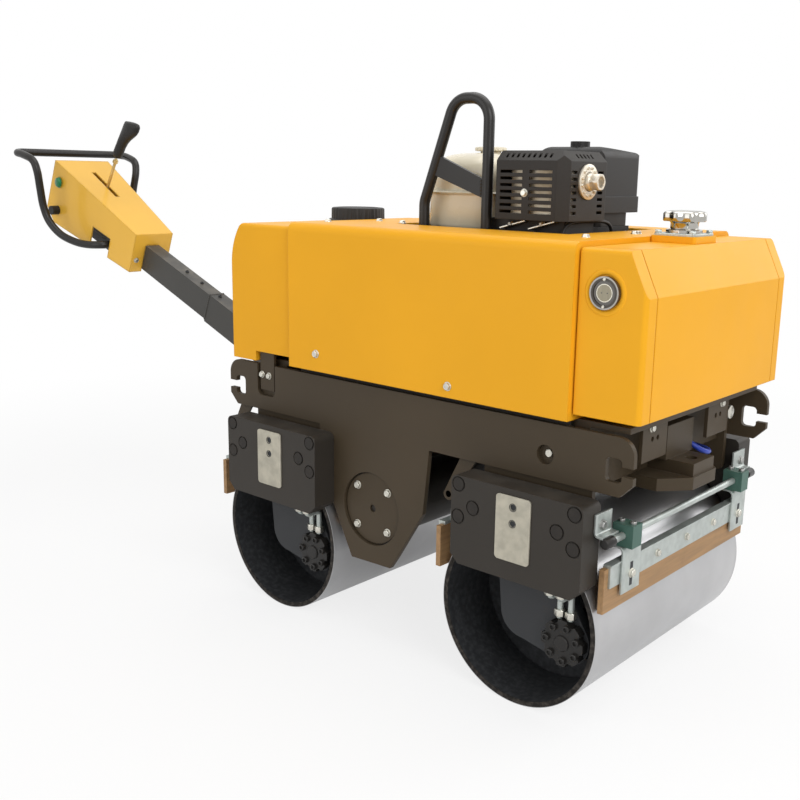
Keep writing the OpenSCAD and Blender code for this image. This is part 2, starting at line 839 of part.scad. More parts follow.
module drive_motors() {
  place() color(black) for (s = [-1, 1]) translate([s * fx + motor_fwd, 0, drum_r - motor_down]) {
    bar_y(0, 0, motor_d - 2 * rod_play, -leg_out, -leg_back + motor_l);
    difference() {
      bar_y(0, 0, cap_d, -leg_out - cap_t, -leg_out);
      for (a = [0:45:315]) rotate([0, a + 22.5, 0])
        bar_y(cap_d / 2 + 3, 0, 20, -leg_out - cap_t - 1, -leg_out + 1);
    }
  }
}

module motor_hoses() {
  y1 = -leg_out - cap_t / 2;
  z1 = drum_r - motor_down + cap_d / 2 + rod_play;
  z2 = box_bottom - hose_d - 5;
  place() color(black) for (s = [-1, 1], i = [-1, 1]) translate([s * fx + motor_fwd + i * hose_d, 0, 0])
    bent_tube([[0, y1, z1], [0, y1, z2], [0, -box_in - 20, z2], [0, -box_in - 20, box_bottom]], hose_d, 9);
}

// Cross section of the middle hood in y and z, moved in by a sheet
module hood_section(t) {
  translate([0, hood_bottom - t]) crowned(2 * hood_half - 2 * t, hood_h, hood_r - t);
}

module hood() {
  place() color(yellow) difference() {
    run_x(hood_rear_x, hood_front_x) hood_section(0);
    run_x(hood_rear_x + sheet_t, hood_front_x - sheet_t) hood_section(sheet_t);
    translate([open_rear_x, open_right_y, hood_top - 2 * sheet_t])
      cube([open_front_x - open_rear_x, open_left_y - open_right_y, 4 * sheet_t]);
  }
}

// Outline of the water tank in x and z, moved in by d
module tank_outline(d) {
  slope = [tank_top - ridge_z, ridge_back];
  k = norm(slope);
  translate([tank_front_x, 0]) polygon([[-tank_l + d, tank_bottom + d], [-d, tank_bottom + d],
    [-d, ridge_z - d * (k - slope[0]) / slope[1]],
    [-ridge_back - d * (k - slope[1]) / slope[0], tank_top - d],
    [-tank_l + d, tank_top - d]]);
}

// Children at the two side lamps
module at_lamps() {
  both() translate([tank_front_x - lamp_back, 0, ridge_z + lamp_up]) children();
}

module water_tank() {
  seam_y = tank_half - seam_in;
  place() color(yellow) difference() {
    intersection() {
      slab(-tank_half, tank_half) tank_outline(0);
      run_x(tank_front_x - tank_l, tank_front_x) translate([0, tank_bottom])
        crowned(2 * tank_half, tank_top - tank_bottom, tank_r);
      translate([tank_front_x, 0, tank_bottom]) rotate(90)
        linear_extrude(tank_top - tank_bottom) translate([0, tank_l]) mirror([0, 1])
          crowned(2 * tank_half, tank_l, tank_r);
    }
    both() difference() {
      slab(-seam_y, -seam_y + seam_w) tank_outline(-1);
      slab(-seam_y - 1, -seam_y + seam_w + 1) tank_outline(seam_deep);
    }
    at_lamps() bar_y(0, 0, lamp_d + lamp_out, -tank_half - 1, -tank_half + lamp_deep);
  }
}

module oil_tank() {
  step_x = notch_x - notch_w / 2;
  low = hood_bottom - oil_low;
  curve_z = tank_top - oil_curve;
  place() color(yellow) intersection() {
    slab(-tank_half, tank_half) {
      translate([oil_rear_x, low + oil_step]) square([oil_l, curve_z - low - oil_step]);
      translate([oil_rear_x, low]) square([step_x - oil_rear_x, oil_step]);
      intersection() {
        translate([oil_rear_x, curve_z]) square([oil_l, oil_curve]);
        union() {
          translate([oil_rear_x + oil_r, curve_z]) circle(oil_r, $fn = 192);
          translate([oil_rear_x + oil_r, curve_z - 1]) square([oil_l, oil_curve + 2]);
        }
      }
    }
    run_x(oil_rear_x, oil_front_x) translate([0, low]) crowned(2 * tank_half, tank_top - low, tank_r);
  }
}

module hood_brackets() {
  half = notch_w / 2 - 7;
  top = hood_bottom - oil_low + oil_step;
  front_x = tank_front_x - 64;
  place() color(frame_grey) both() {
    translate([notch_x - half, -arm_in - bracket_t, plate_top - 66])
      cube([2 * half, bracket_t, top - plate_top + 66]);
    translate([notch_x - half, -arm_in, top - bracket_t]) cube([2 * half, 52, bracket_t]);
    translate([front_x, -arm_in + pad_in + 5, beam_bottom + 50]) difference() {
      cube([bracket_t, pad_in, deck_z - beam_bottom - 50]);
      for (y = [40, 62]) translate([-1, y, 44]) rotate([0, 90, 0]) cylinder(d = 11, h = bracket_t + 2);
    }
  }
}

module lamp_rings() {
  place() color(steel) at_lamps() difference() {
    bar_y(0, 0, lamp_d, -tank_half - lamp_out, -tank_half + lamp_deep);
    bar_y(0, 0, lens_d + 2 * rod_play, -tank_half - lamp_out - 1, -tank_half + lamp_deep + 1);
  }
}

module lamp_lenses() {
  place() color([0.85, 0.86, 0.84]) at_lamps()
    bar_y(0, 0, lens_d, -tank_half - lamp_out + 2, -tank_half + lamp_deep);
}

// Children on the tank top at the filler, raised by h
module at_filler(h) {
  translate([tank_front_x - filler_back, 0, tank_top + h]) children();
}

module filler_flange() {
  place() color(yellow) at_filler(0) linear_extrude(filler_t) rounded(filler_s, filler_s, 6);
}

module filler_cap() {
  neck = 28;
  place() color(steel) at_filler(filler_t) {
    linear_extrude(5) rounded(filler_s - 8, filler_s - 8, 6);
    cylinder(d = knob_d - 8, h = 12);
    cylinder(d = knob_d - 22, h = neck + 5);
    translate([0, 0, neck]) cylinder(d = knob_d, h = knob_h);
    for (a = [0:45:315]) rotate(a) translate([knob_d / 2 - 3, 0, neck])
      cylinder(d = 18, h = knob_h, $fn = 32);
  }
}

module oil_cap() {
  place() color(black) translate([hood_rear_x - 93, 0, tank_top]) {
    cylinder(d = 158, h = 8);
    cylinder(d = 140, h = 38);
  }
}

module engine_block() {
  right_y = -hoop_y + hoop_d / 2 + hoop_clear;
  place() color(black) {
    translate([fuel_rear_x + 24, fuel_right_y + 20, hood_bottom])
      cube([fuel_front_x - fuel_rear_x - 24, fuel_left_y - fuel_right_y - 30, fuel_bottom - hood_bottom]);
    translate([fuel_front_x, right_y, hood_bottom])
      cube([muff_front_x - fuel_front_x - 26, muff_left_y - right_y, muff_bottom - hood_bottom]);
    translate([fuel_front_x, muff_left_y, hood_bottom])
      cube([air_front_x - fuel_front_x - 16, air_left_y - muff_left_y - 22, air_bottom - hood_bottom]);
  }
}

// Body of the muffler guard, moved in by a sheet and open below
module guard_body(t) {
  xa = muff_rear_x + t;
  xb = muff_front_x - t;
  ya = muff_right_y + t;
  yb = muff_left_y - t;
  za = muff_bottom - t;
  zb = muff_top - t;
  b = muff_bevel - t / 2;
  intersection() {
    translate([0, 0, za]) linear_extrude(zb - za)
      polygon([[xa, ya], [xb - b, ya], [xb, ya + b], [xb, yb], [xa, yb]]);
    run_x(xa, xb) polygon([[ya, za], [yb, za], [yb, zb], [ya + b, zb], [ya, zb - b]]);
    slab(ya, yb) polygon([[xa, za], [xb, za], [xb, zb - b], [xb - b, zb], [xa, zb]]);
  }
}

// Two columns of slots in the near face, short ones beside the outlet, and slots across both upper bevels
module guard_slots() {
  mid = (muff_rear_x + muff_front_x - muff_bevel) / 2;
  outlet_y = muff_right_y + outlet_in;
  short_l = outlet_in - outlet_d / 2 - muff_bevel - 8;
  half = muff_bevel / 3;
  for (i = [0:6]) translate([0, 0, muff_bottom + louvre_step + i * louvre_step]) {
    for (s = [-1, 1]) translate([mid + s * (louvre_l / 2 + 9) - louvre_l / 2, muff_right_y - 1, 0])
      cube([louvre_l, muff_t + 2, louvre_h]);
    for (s = [-1, 1])
      translate([muff_front_x - muff_t - 1, outlet_y + s * (outlet_d / 2 + short_l / 2 + 4) - short_l / 2, 0])
      cube([muff_t + 2, short_l, louvre_h]);
  }
  for (i = [-4:4])
    translate([mid + i * louvre_step - louvre_h / 2, muff_right_y + half - 1, muff_top - 2 * half - 1])
    cube([louvre_h, half + 2, half + 2]);
  for (i = [-2:2])
    translate([muff_front_x - 2 * half - 1, outlet_y + i * louvre_step - louvre_h / 2,
      muff_top - 2 * half - 1])
    cube([half + 2, louvre_h, half + 2]);
}

module muffler_guard() {
  place() color(black) difference() {
    guard_body(0);
    guard_body(muff_t);
    guard_slots();
  }
}

module muffler() {
  side = 4 * muff_t;
  l = muff_front_x - muff_rear_x - 2 * side;
  w = muff_left_y - muff_right_y - 2 * side;
  place() color(steel) translate([muff_rear_x + side + l / 2, muff_right_y + side + w / 2, muff_bottom])
    linear_extrude(muff_h - muff_bevel - side) rounded(l, w, 2 * muff_bevel);
}

module exhaust_outlet() {
  place() color(steel) translate([muff_front_x, muff_right_y + outlet_in, muff_bottom + outlet_up])
    rotate([0, 90, 0])
    difference() {
      union() {
        cylinder(d = outlet_d, h = 5);
        cylinder(d = 40, h = 14);
        translate([0, 0, 14]) cylinder(d1 = 40, d2 = 32, h = 6);
        translate([0, 0, 20]) cylinder(d = 32, h = 14);
      }
      translate([0, 0, 12]) cylinder(d = 24, h = 30);
    }
}

// Outline of the air cleaner cover in y and z, its top falling to the left
module air_outline(w, h, r) {
  a = atan(air_fall / (w - 2 * r));
  lean = [r * sin(a), r * cos(a)];
  polygon([[-w / 2, 0], [w / 2, 0], [w / 2, h - air_fall - r], [w / 2 - r, h - air_fall - r] + lean,
    [r - w / 2, h - r] + lean, [-w / 2, h - r]]);
  translate([r - w / 2, h - r]) circle(r);
  translate([w / 2 - r, h - air_fall - r]) circle(r);
}

module air_cleaner() {
  l = air_front_x - air_rear_x;
  w = air_left_y - air_right_y;
  seam = fuel_seam - fuel_drop - air_up;
  band = 36;
  x = (air_rear_x + air_front_x) / 2;
  y = (air_right_y + air_left_y) / 2;
  place() color(black) translate([x, y, air_bottom]) {
    linear_extrude(seam - band) rounded(l - 34, w - 48, 16);
    translate([0, 0, seam - band]) linear_extrude(band) rounded(l, w, 18);
    translate([0, 0, seam]) intersection() {
      linear_extrude(air_h - seam) rounded(l - 6, w - 8, 16);
      run_x(-l / 2, l / 2) air_outline(w - 8, air_h - seam, 24);
      slab(-w / 2, w / 2) crowned(l - 6, air_h - seam, 24);
    }
    translate([0, -w / 4, air_h - air_fall]) cylinder(d = 44, h = air_fall + 12);
  }
}

module fuel_tank() {
  l = fuel_front_x - fuel_rear_x;
  w = fuel_left_y - fuel_right_y;
  lid = fuel_h - fuel_seam;
  place() color(cream) translate([fuel_rear_x + l / 2, fuel_right_y + w / 2, fuel_bottom]) {
    linear_extrude(fuel_seam) rounded(l - 2 * fuel_lip, w - 2 * fuel_lip, 30);
    translate([0, 0, fuel_seam - fuel_lip / 2]) linear_extrude(fuel_lip) rounded(l, w, 34);
    translate([0, 0, fuel_seam]) intersection() {
      linear_extrude(lid) rounded(l - 2 * fuel_lip, w - 2 * fuel_lip, 30);
      run_x(-l / 2, l / 2) crowned(w - 2 * fuel_lip, lid, fuel_r);
      slab(-w / 2, w / 2) crowned(l - 2 * fuel_lip, lid, fuel_r);
    }
  }
}

module fuel_cap() {
  place() color(cream) translate([fuel_rear_x + 112, 42, fuel_bottom + fuel_h]) {
    cylinder(d = 60, h = 8);
    translate([0, 0, 8]) cylinder(d = 76, h = 20);
  }
}

module lift_hoop() {
  axis_z = hood_top + hoop_h - hoop_d / 2;
  place() color(black) {
    bent_tube([[hoop_rear_x, -hoop_y, hood_bottom], [hoop_rear_x, -hoop_y, hood_top + hoop_knee],
      [hoop_rear_x + hoop_lean, -hoop_y, axis_z], [hoop_front_x, -hoop_y, axis_z],
      [hoop_front_x, -hoop_y, hood_bottom]], hoop_d, hoop_r);
    difference() {
      slab(-hoop_y - gusset_t / 2, -hoop_y + gusset_t / 2) polygon([[hoop_rear_x + 26, hood_top + 116],
        [hoop_rear_x + 38, hood_top + 160], [hoop_front_x, hood_top + 104], [hoop_front_x, hood_top + 63]]);
      translate([hoop_front_x, -hoop_y, hood_top]) cylinder(d = hoop_d, h = 200);
    }
  }
}

// Children at the scraper place ahead of the front drum
module at_front() {
  translate([fx, 0, 0]) children();
}

// Children at the scraper places behind both drums
module at_rear() {
  for (s = [-1, 1]) translate([s * fx, 0, 0]) mirror([1, 0, 0]) children();
}

// Children at the inner scraper place, ahead of the rear drum and between the side plates
module at_inner() {
  translate([-fx, 0, 0]) children();
}

// Bent plate on the end of a support box that holds the front rod
module rod_bracket() {
  x1 = frame_fwd + box_l / 2;
  x2 = rod_off + rod_d + 3;
  translate([0, 0, rod_z - rod_plate_low]) {
    difference() {
      translate([x1, -rim - strap_t, 0]) cube([x2 - x1, strap_t, rod_plate_h]);
      bar_y(rod_off, rod_plate_low, rod_d + 2 * rod_play, -box_half, -arm_in);
    }
    translate([x1, -box_half + strap_t, 0]) cube([strap_t, box_half - strap_t - rim, rod_plate_h]);
  }
}

// Plate inside a side plate that hangs a rear rod below it
module rod_hanger() {
  x1 = box_l / 2 - mount_d / 2 - frame_fwd + 4;
  top = arm_bottom + slot_up - slot_h / 2 - 1;
  slab(-arm_in, strap_t - arm_in) difference() {
    union() {
      polygon([[x1, top], [x1 + hanger_w, top], [rod_off + hanger_r, rod_z], [rod_off - hanger_r, rod_z]]);
      translate([rod_off, rod_z]) circle(hanger_r);
    }
    translate([rod_off, rod_z]) circle(d = rod_d + 2 * rod_play);
  }
}

module scraper_brackets() {
  place() color(zinc) both() {
    at_front() rod_bracket();
    at_rear() rod_hanger();
  }
}

module scraper_rods() {
  place() color(steel) {
    at_front() bar_y(rod_off, rod_z, rod_d, -rim - rod_over, rim + rod_over);
    at_rear() bar_y(rod_off, rod_z, rod_d, -arm_in, arm_in);
    at_inner() bar_y(rod_off, rod_z, rod_d, -arm_in, arm_in);
  }
}

// Two clamp blocks on a rod
module clamps() {
  both() difference() {
    translate([rod_off - clamp_s / 2, -clamp_y - clamp_l / 2, rod_z - clamp_s / 2])
      cube([clamp_s, clamp_l, clamp_s]);
    bar_y(rod_off, rod_z, rod_d + 2 * rod_play, -clamp_y - clamp_l, -clamp_y + clamp_l);
  }
}

module scraper_clamps() {
  place() color([0.16, 0.28, 0.23]) {
    at_front() clamps();
    at_rear() clamps();
    at_inner() clamps();
  }
}

module board(half) {
  translate([board_x - board_t, -half, board_z]) cube([board_t, 2 * half, board_h]);
}

module scraper_boards() {
  place() color([0.66, 0.47, 0.3]) {
    at_front() board(rim - board_in);
    at_rear() board(rim + board_over);
    at_inner() board(arm_in - flange_t - board_play);
  }
}

// Angle along the upper edge of a board
module channel(half) {
  z1 = board_z + board_h - channel_h + strap_t;
  translate([0, -half, z1]) {
    translate([board_x, 0, 0]) cube([strap_t, 2 * half, channel_h]);
    translate([board_x - board_t, 0, channel_h - strap_t]) cube([board_t, 2 * half, strap_t]);
  }
}

module scraper_channels() {
  place() color(zinc) {
    at_front() channel(rim - board_in - channel_in);
    at_rear() channel(rim + board_over - channel_in);
    at_inner() channel(arm_in - flange_t - board_play - channel_in);
  }
}

// Two bent straps from the clamps down to the channel
module straps() {
  x1 = board_x + strap_t;
  z1 = board_z + strap_up;
  z2 = rod_z - clamp_s / 2 - strap_t;
  both() translate([0, -clamp_y - clamp_l / 2, 0]) {
    translate([x1, 0, z1]) cube([strap_t, clamp_l, z2 + strap_t - z1]);
    translate([x1, 0, z2]) cube([strap_x - x1 + strap_t, clamp_l, strap_t]);
    translate([strap_x, 0, z2]) cube([strap_t, clamp_l, clamp_s / 2 + strap_t]);
  }
}

module scraper_straps() {
  place() color(zinc) {
    at_front() straps();
    at_rear() straps();
    at_inner() straps();
  }
}

module drum() {
  inner_d = drum_d - 2 * drum_wall;
  difference() {
    bar_y(0, 0, drum_d, -rim, rim);
    bar_y(0, 0, inner_d, -rim - 1, -web_y);
    bar_y(0, 0, inner_d, -web_y + web_t, web_y - web_t);
    bar_y(0, 0, inner_d, web_y, rim + 1);
    bar_y(0, 0, axle_bore, -rim, rim);
  }
  both() difference() {
    bar_y(0, 0, hub_d, -web_y - hub_len + web_t, -web_y);
    bar_y(0, 0, axle_bore, -rim, 0);
  }
}

module front_drum() {
  place() color(steel) translate([fx, 0, drum_r]) drum();
}

module rear_drum() {
  place() color(steel) translate([-fx, 0, drum_r]) drum();
}

// Axes of the handle: x back along the drawbar is negative, z square to it
module on_handle() {
  place() translate([-pivot_back, 0, pivot_z]) rotate([0, bar_tilt, 0]) children();
}

module drawbar() {
  on_handle() color(frame_grey) difference() {
    union() {
      slab(-bar_w / 2, bar_w / 2) {
        translate([0, bar_h / 2 - bar_low]) circle(d = bar_h);
        translate([-ctrl_from - bar_in, -bar_low]) square([ctrl_from + bar_in, bar_h]);
      }
      translate([-sleeve_l, -bar_w / 2 - 2, -bar_low - sleeve_t])
        cube([sleeve_l - 2 * fork_r, bar_w + 4, bar_h + sleeve_t + 2]);
    }
    bar_y(0, 0, pin_d + 2 * run_clear, -bar_w, bar_w);
  }
}

// Body of the control box, moved in by a sheet and open below
module ctrl_body(t) {
  e = ctrl_end;
  far = e + 10;
  low = t > 0 ? 1 : 0;
  intersection() {
    slab(-ctrl_w2 / 2, ctrl_w2 / 2)
      polygon([[-ctrl_from - t, ctrl_top1 - 1.1 * t], [2 - e + t, ctrl_top2 - 1.1 * t],
      [-e - 6 + 1.2 * t, t / 3 - 30], [44 - e + 1.6 * t, -70 - low], [-ctrl_from - t, -54 - low]]);
    translate([0, 0, -ctrl_top2]) linear_extrude(3 * ctrl_top2) polygon([[-ctrl_from, ctrl_w1 / 2 - t],
      [-far, ctrl_w2 / 2 - t], [-far, t - ctrl_w2 / 2], [-ctrl_from, t - ctrl_w1 / 2]]);
  }
}

module control_box() {
  on_handle() color(yellow) difference() {
    ctrl_body(0);
    ctrl_body(sheet_t);
    translate([-ctrl_from - 2 * sheet_t, -bar_w / 2, -bar_low - 40]) cube([3 * sheet_t, bar_w, bar_h + 40]);
    translate([-ctrl_from - lever_from - slit_l / 2, -slit_w / 2, bar_h]) cube([slit_l, slit_w, ctrl_top2]);
    both() translate([-ctrl_from - 218, -ctrl_w2 / 2, -90]) cube([98, 60, 98]);
  }
}

// Bends of the right half of the handlebar, from the drawbar to the cross tube
function grip_pts() = [[-ctrl_from - 141, -bar_w / 2, -22], [-ctrl_from - 141, -bar_w / 2 - 63, -22],
  [-ctrl_from - 245, -bar_w / 2 - 103, -60], [170 - grip_reach, 38 - grip_half, -46],
  [128 - grip_reach, 11 - grip_half, grip_up + 30], [-grip_reach, -grip_half, grip_up]];

module handlebar() {
  right = grip_pts();
  left = [for (i = [5:-1:0]) [right[i][0], -right[i][1], right[i][2]]];
  on_handle() color(black) bent_tube(concat(right, left), grip_d, grip_r);
}

// Axes of the lever: its foot on the drawbar, z along the rod
module on_lever() {
  on_handle() translate([-ctrl_from - lever_from, 0, bar_h - bar_low]) children();
}

module lever_rod() {
  on_lever() color([0.72, 0.6, 0.36]) {
    translate([-14, -9, 0]) cube([28, 18, 20]);
    rotate([0, lever_lean, 0]) {
      translate([0, 0, lever_d]) cylinder(d = lever_d, h = lever_l - lever_d);
      translate([0, 0, lever_l - 15]) cylinder(d = 18, h = 10, $fn = 6);
    }
  }
}

module lever_grip() {
  on_lever() color(black) rotate([0, lever_lean, 0]) translate([0, 0, lever_l]) {
    cylinder(d1 = 26, d2 = 36, h = lever_grip_l);
    translate([0, 0, lever_grip_l - 16]) rotate([0, 62, 0]) cylinder(d1 = 36, d2 = 30, h = 60);
  }
}

// Axes on the right wall of the control box, a length along and a height above the drawbar line, z outward
module on_wall(s, h) {
  d = (ctrl_w2 - ctrl_w1) / 2;
  l = ctrl_len + 10;
  on_handle() translate([-ctrl_from - s, -ctrl_w1 / 2 - d * s / l, h])
    rotate([0, 0, atan(d / l)]) rotate([90, 0, 0]) children();
}

module start_button() {
  on_wall(425, 76) color([0.1, 0.5, 0.3]) cylinder(d = 24, h = 12);
}

module throttle_knob() {
  on_wall(415, -20) color(black) cylinder(d = 30, h = 26);
}

frame_side_right();
frame_side_left();
frame_cross();
hitch();
pivot_fork();
pivot_pin();
exciter_case();
exciter_covers();
support_boxes();
rubber_mounts();
box_plates();
drum_legs();
drum_axles();
drive_motors();
motor_hoses();
hood();
water_tank();
oil_tank();
hood_brackets();
lamp_rings();
lamp_lenses();
filler_flange();
filler_cap();
oil_cap();
engine_block();
muffler();
muffler_guard();
exhaust_outlet();
air_cleaner();
fuel_tank();
fuel_cap();
lift_hoop();
scraper_brackets();
scraper_rods();
scraper_clamps();
scraper_straps();
scraper_channels();
scraper_boards();
front_drum();
rear_drum();
drawbar();
control_box();
handlebar();
lever_rod();
lever_grip();
start_button();
throttle_knob();
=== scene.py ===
"""Finishes, fittings, camera and stage of a walk-behind road roller with two drums."""

import math

import bmesh
import bpy
import numpy as np
from mathutils import Matrix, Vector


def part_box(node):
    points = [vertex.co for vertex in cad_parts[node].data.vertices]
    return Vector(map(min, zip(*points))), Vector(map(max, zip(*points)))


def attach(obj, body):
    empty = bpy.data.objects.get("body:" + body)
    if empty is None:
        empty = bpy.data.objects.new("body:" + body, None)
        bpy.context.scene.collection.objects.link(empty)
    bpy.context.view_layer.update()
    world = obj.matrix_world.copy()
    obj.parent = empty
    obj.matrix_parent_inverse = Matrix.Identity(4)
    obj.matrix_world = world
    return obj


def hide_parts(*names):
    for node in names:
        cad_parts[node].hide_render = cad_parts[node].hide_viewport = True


bl_info = {
    "name": "Road roller looks",
    "version": (1, 0, 0),
    "blender": (4, 5, 0),
    "location": "3D View > Sidebar > Roller",
    "description": "Finishes, fittings, camera and stage of a walk-behind road roller",
    "category": "Object",
}

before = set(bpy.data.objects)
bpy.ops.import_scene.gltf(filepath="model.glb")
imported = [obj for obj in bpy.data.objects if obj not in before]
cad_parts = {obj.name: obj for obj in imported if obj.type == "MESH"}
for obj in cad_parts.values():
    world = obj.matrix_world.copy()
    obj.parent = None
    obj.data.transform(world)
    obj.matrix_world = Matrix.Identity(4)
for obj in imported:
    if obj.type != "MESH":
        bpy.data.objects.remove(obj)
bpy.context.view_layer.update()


def edges(node):
    """Lowest and highest corner of a solid, in metres, as two arrays."""
    low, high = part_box(node)
    return np.array(low), np.array(high)


def middle(node):
    """Middle of a solid's box, in metres."""
    low, high = edges(node)
    return (low + high) / 2


DRUM_MID = (middle("front_drum")[0] + middle("rear_drum")[0]) / 2
PIVOT = middle("pivot_pin")


def at(x, y, z):
    """A place given in millimetres from the middle between the drums, in metres of the frame."""
    return np.array([DRUM_MID + x / 1000, y / 1000, z / 1000])


def mm(*values):
    """Lengths given in millimetres, as an array in metres."""
    return np.array(values) / 1000


def on_axis(node, end):
    """Middle of the bottom (end 0) or the top (end 1) of a solid's box, in metres."""
    spot = middle(node)
    spot[2] = edges(node)[end][2]
    return spot


def right_face(node):
    """The y of a solid's right face, in millimetres."""
    return edges(node)[0][1] * 1000


def linear(colour):
    """A screen colour as the linear values that a shader takes."""
    c = np.array(colour[:3], float)
    return tuple(np.where(c <= 0.04045, c / 12.92, ((c + 0.055) / 1.055) ** 2.4)) + (1.0,)


def colour_of(label, words, value):
    """A colour that a user can change, written as it looks on a screen."""
    return bpy.props.FloatVectorProperty(
        name=label, description=words, default=value, size=3, min=0.0, max=1.0, subtype="COLOR_GAMMA"
    )


def length_of(label, words, value):
    """A length in metres that a user can change."""
    return bpy.props.FloatProperty(
        name=label, description=words, default=value, min=0.0005, max=1.0, subtype="DISTANCE", unit="LENGTH"
    )


def power_of(label, words, value):
    """A lamp's power in watts that a user can change."""
    return bpy.props.FloatProperty(name=label, description=words, default=value, min=0.0, unit="POWER")


class RollerColours(bpy.types.PropertyGroup):
    """Colours of the finishes."""

    bodywork: colour_of("Bodywork", "Paint of hood and tanks", (0.920, 0.660, 0.130))
    # Paler than the bodywork yellow: the same paint, lightened as painted sunlit glare on the box
    control: colour_of("Control box", "Paint of the control box", (0.930, 0.720, 0.250))
    chassis: colour_of("Chassis", "Paint of side plates, beams and hitch", (0.268, 0.228, 0.172))
    boxes: colour_of("Support boxes", "Paint of support boxes", (0.195, 0.178, 0.158))
    drawbar: colour_of("Drawbar", "Paint of the drawbar", (0.275, 0.270, 0.258))
    black: colour_of("Black parts", "Paint of hoop, motors and handlebar", (0.130, 0.124, 0.118))
    guard: colour_of("Muffler guard", "Heat-proof paint of the slotted guard", (0.140, 0.126, 0.112))
    plastic: colour_of("Black plastic", "Air cleaner, caps and grips", (0.140, 0.134, 0.128))
    rubber: colour_of("Rubber", "Mounts and discs", (0.165, 0.150, 0.135))
    drum_inside: colour_of("Drum inside", "Paint inside the drums and on the legs", (0.205, 0.210, 0.218))
    steel: colour_of("Drum steel", "Rolled steel of the drum shells", (0.735, 0.735, 0.740))
    plate: colour_of("Bare plates", "Bare steel plates on the boxes", (0.680, 0.660, 0.600))
    zinc: colour_of("Zinc plating", "Scraper brackets, straps and rods", (0.690, 0.715, 0.700))
    bolt: colour_of("Bolts", "Bright zinc of the bolts", (0.790, 0.780, 0.740))
    chrome: colour_of("Chrome", "Filler knob and lamp rings", (0.690, 0.680, 0.655))
    tank: colour_of("Fuel tank", "Enamel of the fuel tank", (0.880, 0.840, 0.740))
    clamp: colour_of("Clamp blocks", "Paint of the scraper clamps", (0.270, 0.390, 0.350))
    board: colour_of("Scraper boards", "Laminate of the scraper boards", (0.630, 0.495, 0.345))
    brass: colour_of("Travel lever", "Yellow chromate of the lever rod", (0.780, 0.690, 0.480))
    button: colour_of("Button", "Push button on the control box", (0.110, 0.480, 0.300))
    engine: colour_of("Engine", "Cast parts of the engine", (0.180, 0.172, 0.165))
    spout: colour_of("Exhaust spout", "Plated steel of the exhaust spout", (0.820, 0.790, 0.730))
    tube: colour_of("Water tube", "Soft tube under the water tank", (0.190, 0.270, 0.640))


class RollerSizes(bpy.types.PropertyGroup):
    """Sizes of the added fittings."""

    hood_bolt: length_of("Hood bolts", "Thread of the bolts of hood and covers", 0.009)
    small_bolt: length_of("Small bolts", "Thread of the bolts of scrapers and brackets", 0.008)
    motor_bolt: length_of("Motor bolts", "Thread of the bolts round the motor caps", 0.010)
    weld: length_of("Weld", "Radius of the weld beads", 0.004)
    pipe_nut: length_of("Pipe nuts", "Half the width of the nuts on the motor pipes", 0.0105)
    handle_tube: length_of("Handlebar", "Diameter of the handlebar tube", 0.025)
    tube: length_of("Water tube", "Diameter of the soft tube under the water tank", 0.012)
    cable: length_of("Cable", "Diameter of the cable beside the engine", 0.008)


class RollerStage(bpy.types.PropertyGroup):
    """Light and floor."""

    key: power_of("Key", "Power of the key light", 74.0)
    fill: power_of("Fill", "Power of the fill light", 32.0)
    top: power_of("Top", "Power of the top light", 58.0)
    rim: power_of("Rim", "Power of the light behind", 30.0)
    sky: bpy.props.FloatProperty(name="Sky", description="Light from all round", default=0.40, min=0.0, max=2.0)
    floor: colour_of("Floor", "Colour of the floor", (0.96, 0.96, 0.96))


# Surfaces: grids of points with two parameters, kept as arrays of rows by columns by three

AHEAD, SIDEWAYS, UP, RIGHT = (1, 0, 0), (0, 1, 0), (0, 0, 1), (0, -1, 0)
SKEW = (0.31, 0.53, 0.79)  # lies along no tube or weld, so that a cross-section can start from it
HEAD_POINTS = 24  # points round a bolt head or nut


def quads(rows, columns, ring):
    """Corners of the faces of a grid of points; in a ring the last column joins the first."""
    i, j = np.meshgrid(np.arange(rows - 1), np.arange(columns if ring else columns - 1), indexing="ij")
    here, beside = i * columns + j, i * columns + (j + 1) % columns
    return np.stack([here, beside, beside + columns, here + columns], -1).reshape(-1, 4)


def axes_along(direction):
    """Three unit axes as rows, the last along the direction."""
    w = np.array(direction, float) / np.linalg.norm(direction)
    u = np.cross(SIDEWAYS if abs(w[1]) < 0.9 else AHEAD, w)
    u /= np.linalg.norm(u)
    return np.stack([u, np.cross(w, u), w])


def angles(count):
    """Even angles round a full turn."""
    return np.linspace(0, 2 * math.pi, count, endpoint=False)


def circle(count):
    """Points of a unit circle: the cosine and sine of even angles."""
    return np.stack([np.cos(angles(count)), np.sin(angles(count))], -1)


def hexagon(around):
    """Outline of a hexagon by angle, as a factor on its inner radius: 1 / cos of the angle from the nearest flat."""
    return 1 / np.cos((angles(around) + math.pi / 6) % (math.pi / 3) - math.pi / 6)


def ribs(around, count, depth):
    """Outline with ribs by angle: 1 + depth times the cosine of count angles."""
    return 1 + depth * np.cos(count * angles(around))


def square(around, power=16):
    """Outline of a square with rounded corners by angle, by the superellipse of the given power."""
    return (np.abs(circle(around)) ** power).sum(axis=1) ** (-1 / power)


def oblong(around, power):
    """Points of a square of half-width 1 with rounded corners, to be stretched to an oblong."""
    return circle(around) * square(around, power)[:, None]


def turned(radius, height, origin, direction, around=32, outline=None, share=None, turn=0.0):
    """Point (v, a): profile radius and height at v, spun by the angle a about the direction.
    The radius is multiplied by the outline at a, by the share of it that row v takes."""
    a = angles(around) + turn
    r = np.repeat(np.array(radius, float)[:, None], around, axis=1)
    if outline is not None:
        r = r * (1 + np.array(share, float)[:, None] * (outline - 1))
    level = np.broadcast_to(np.array(height, float)[:, None], r.shape)
    return np.array(origin) + np.stack([r * np.cos(a), r * np.sin(a), level], -1) @ axes_along(direction)


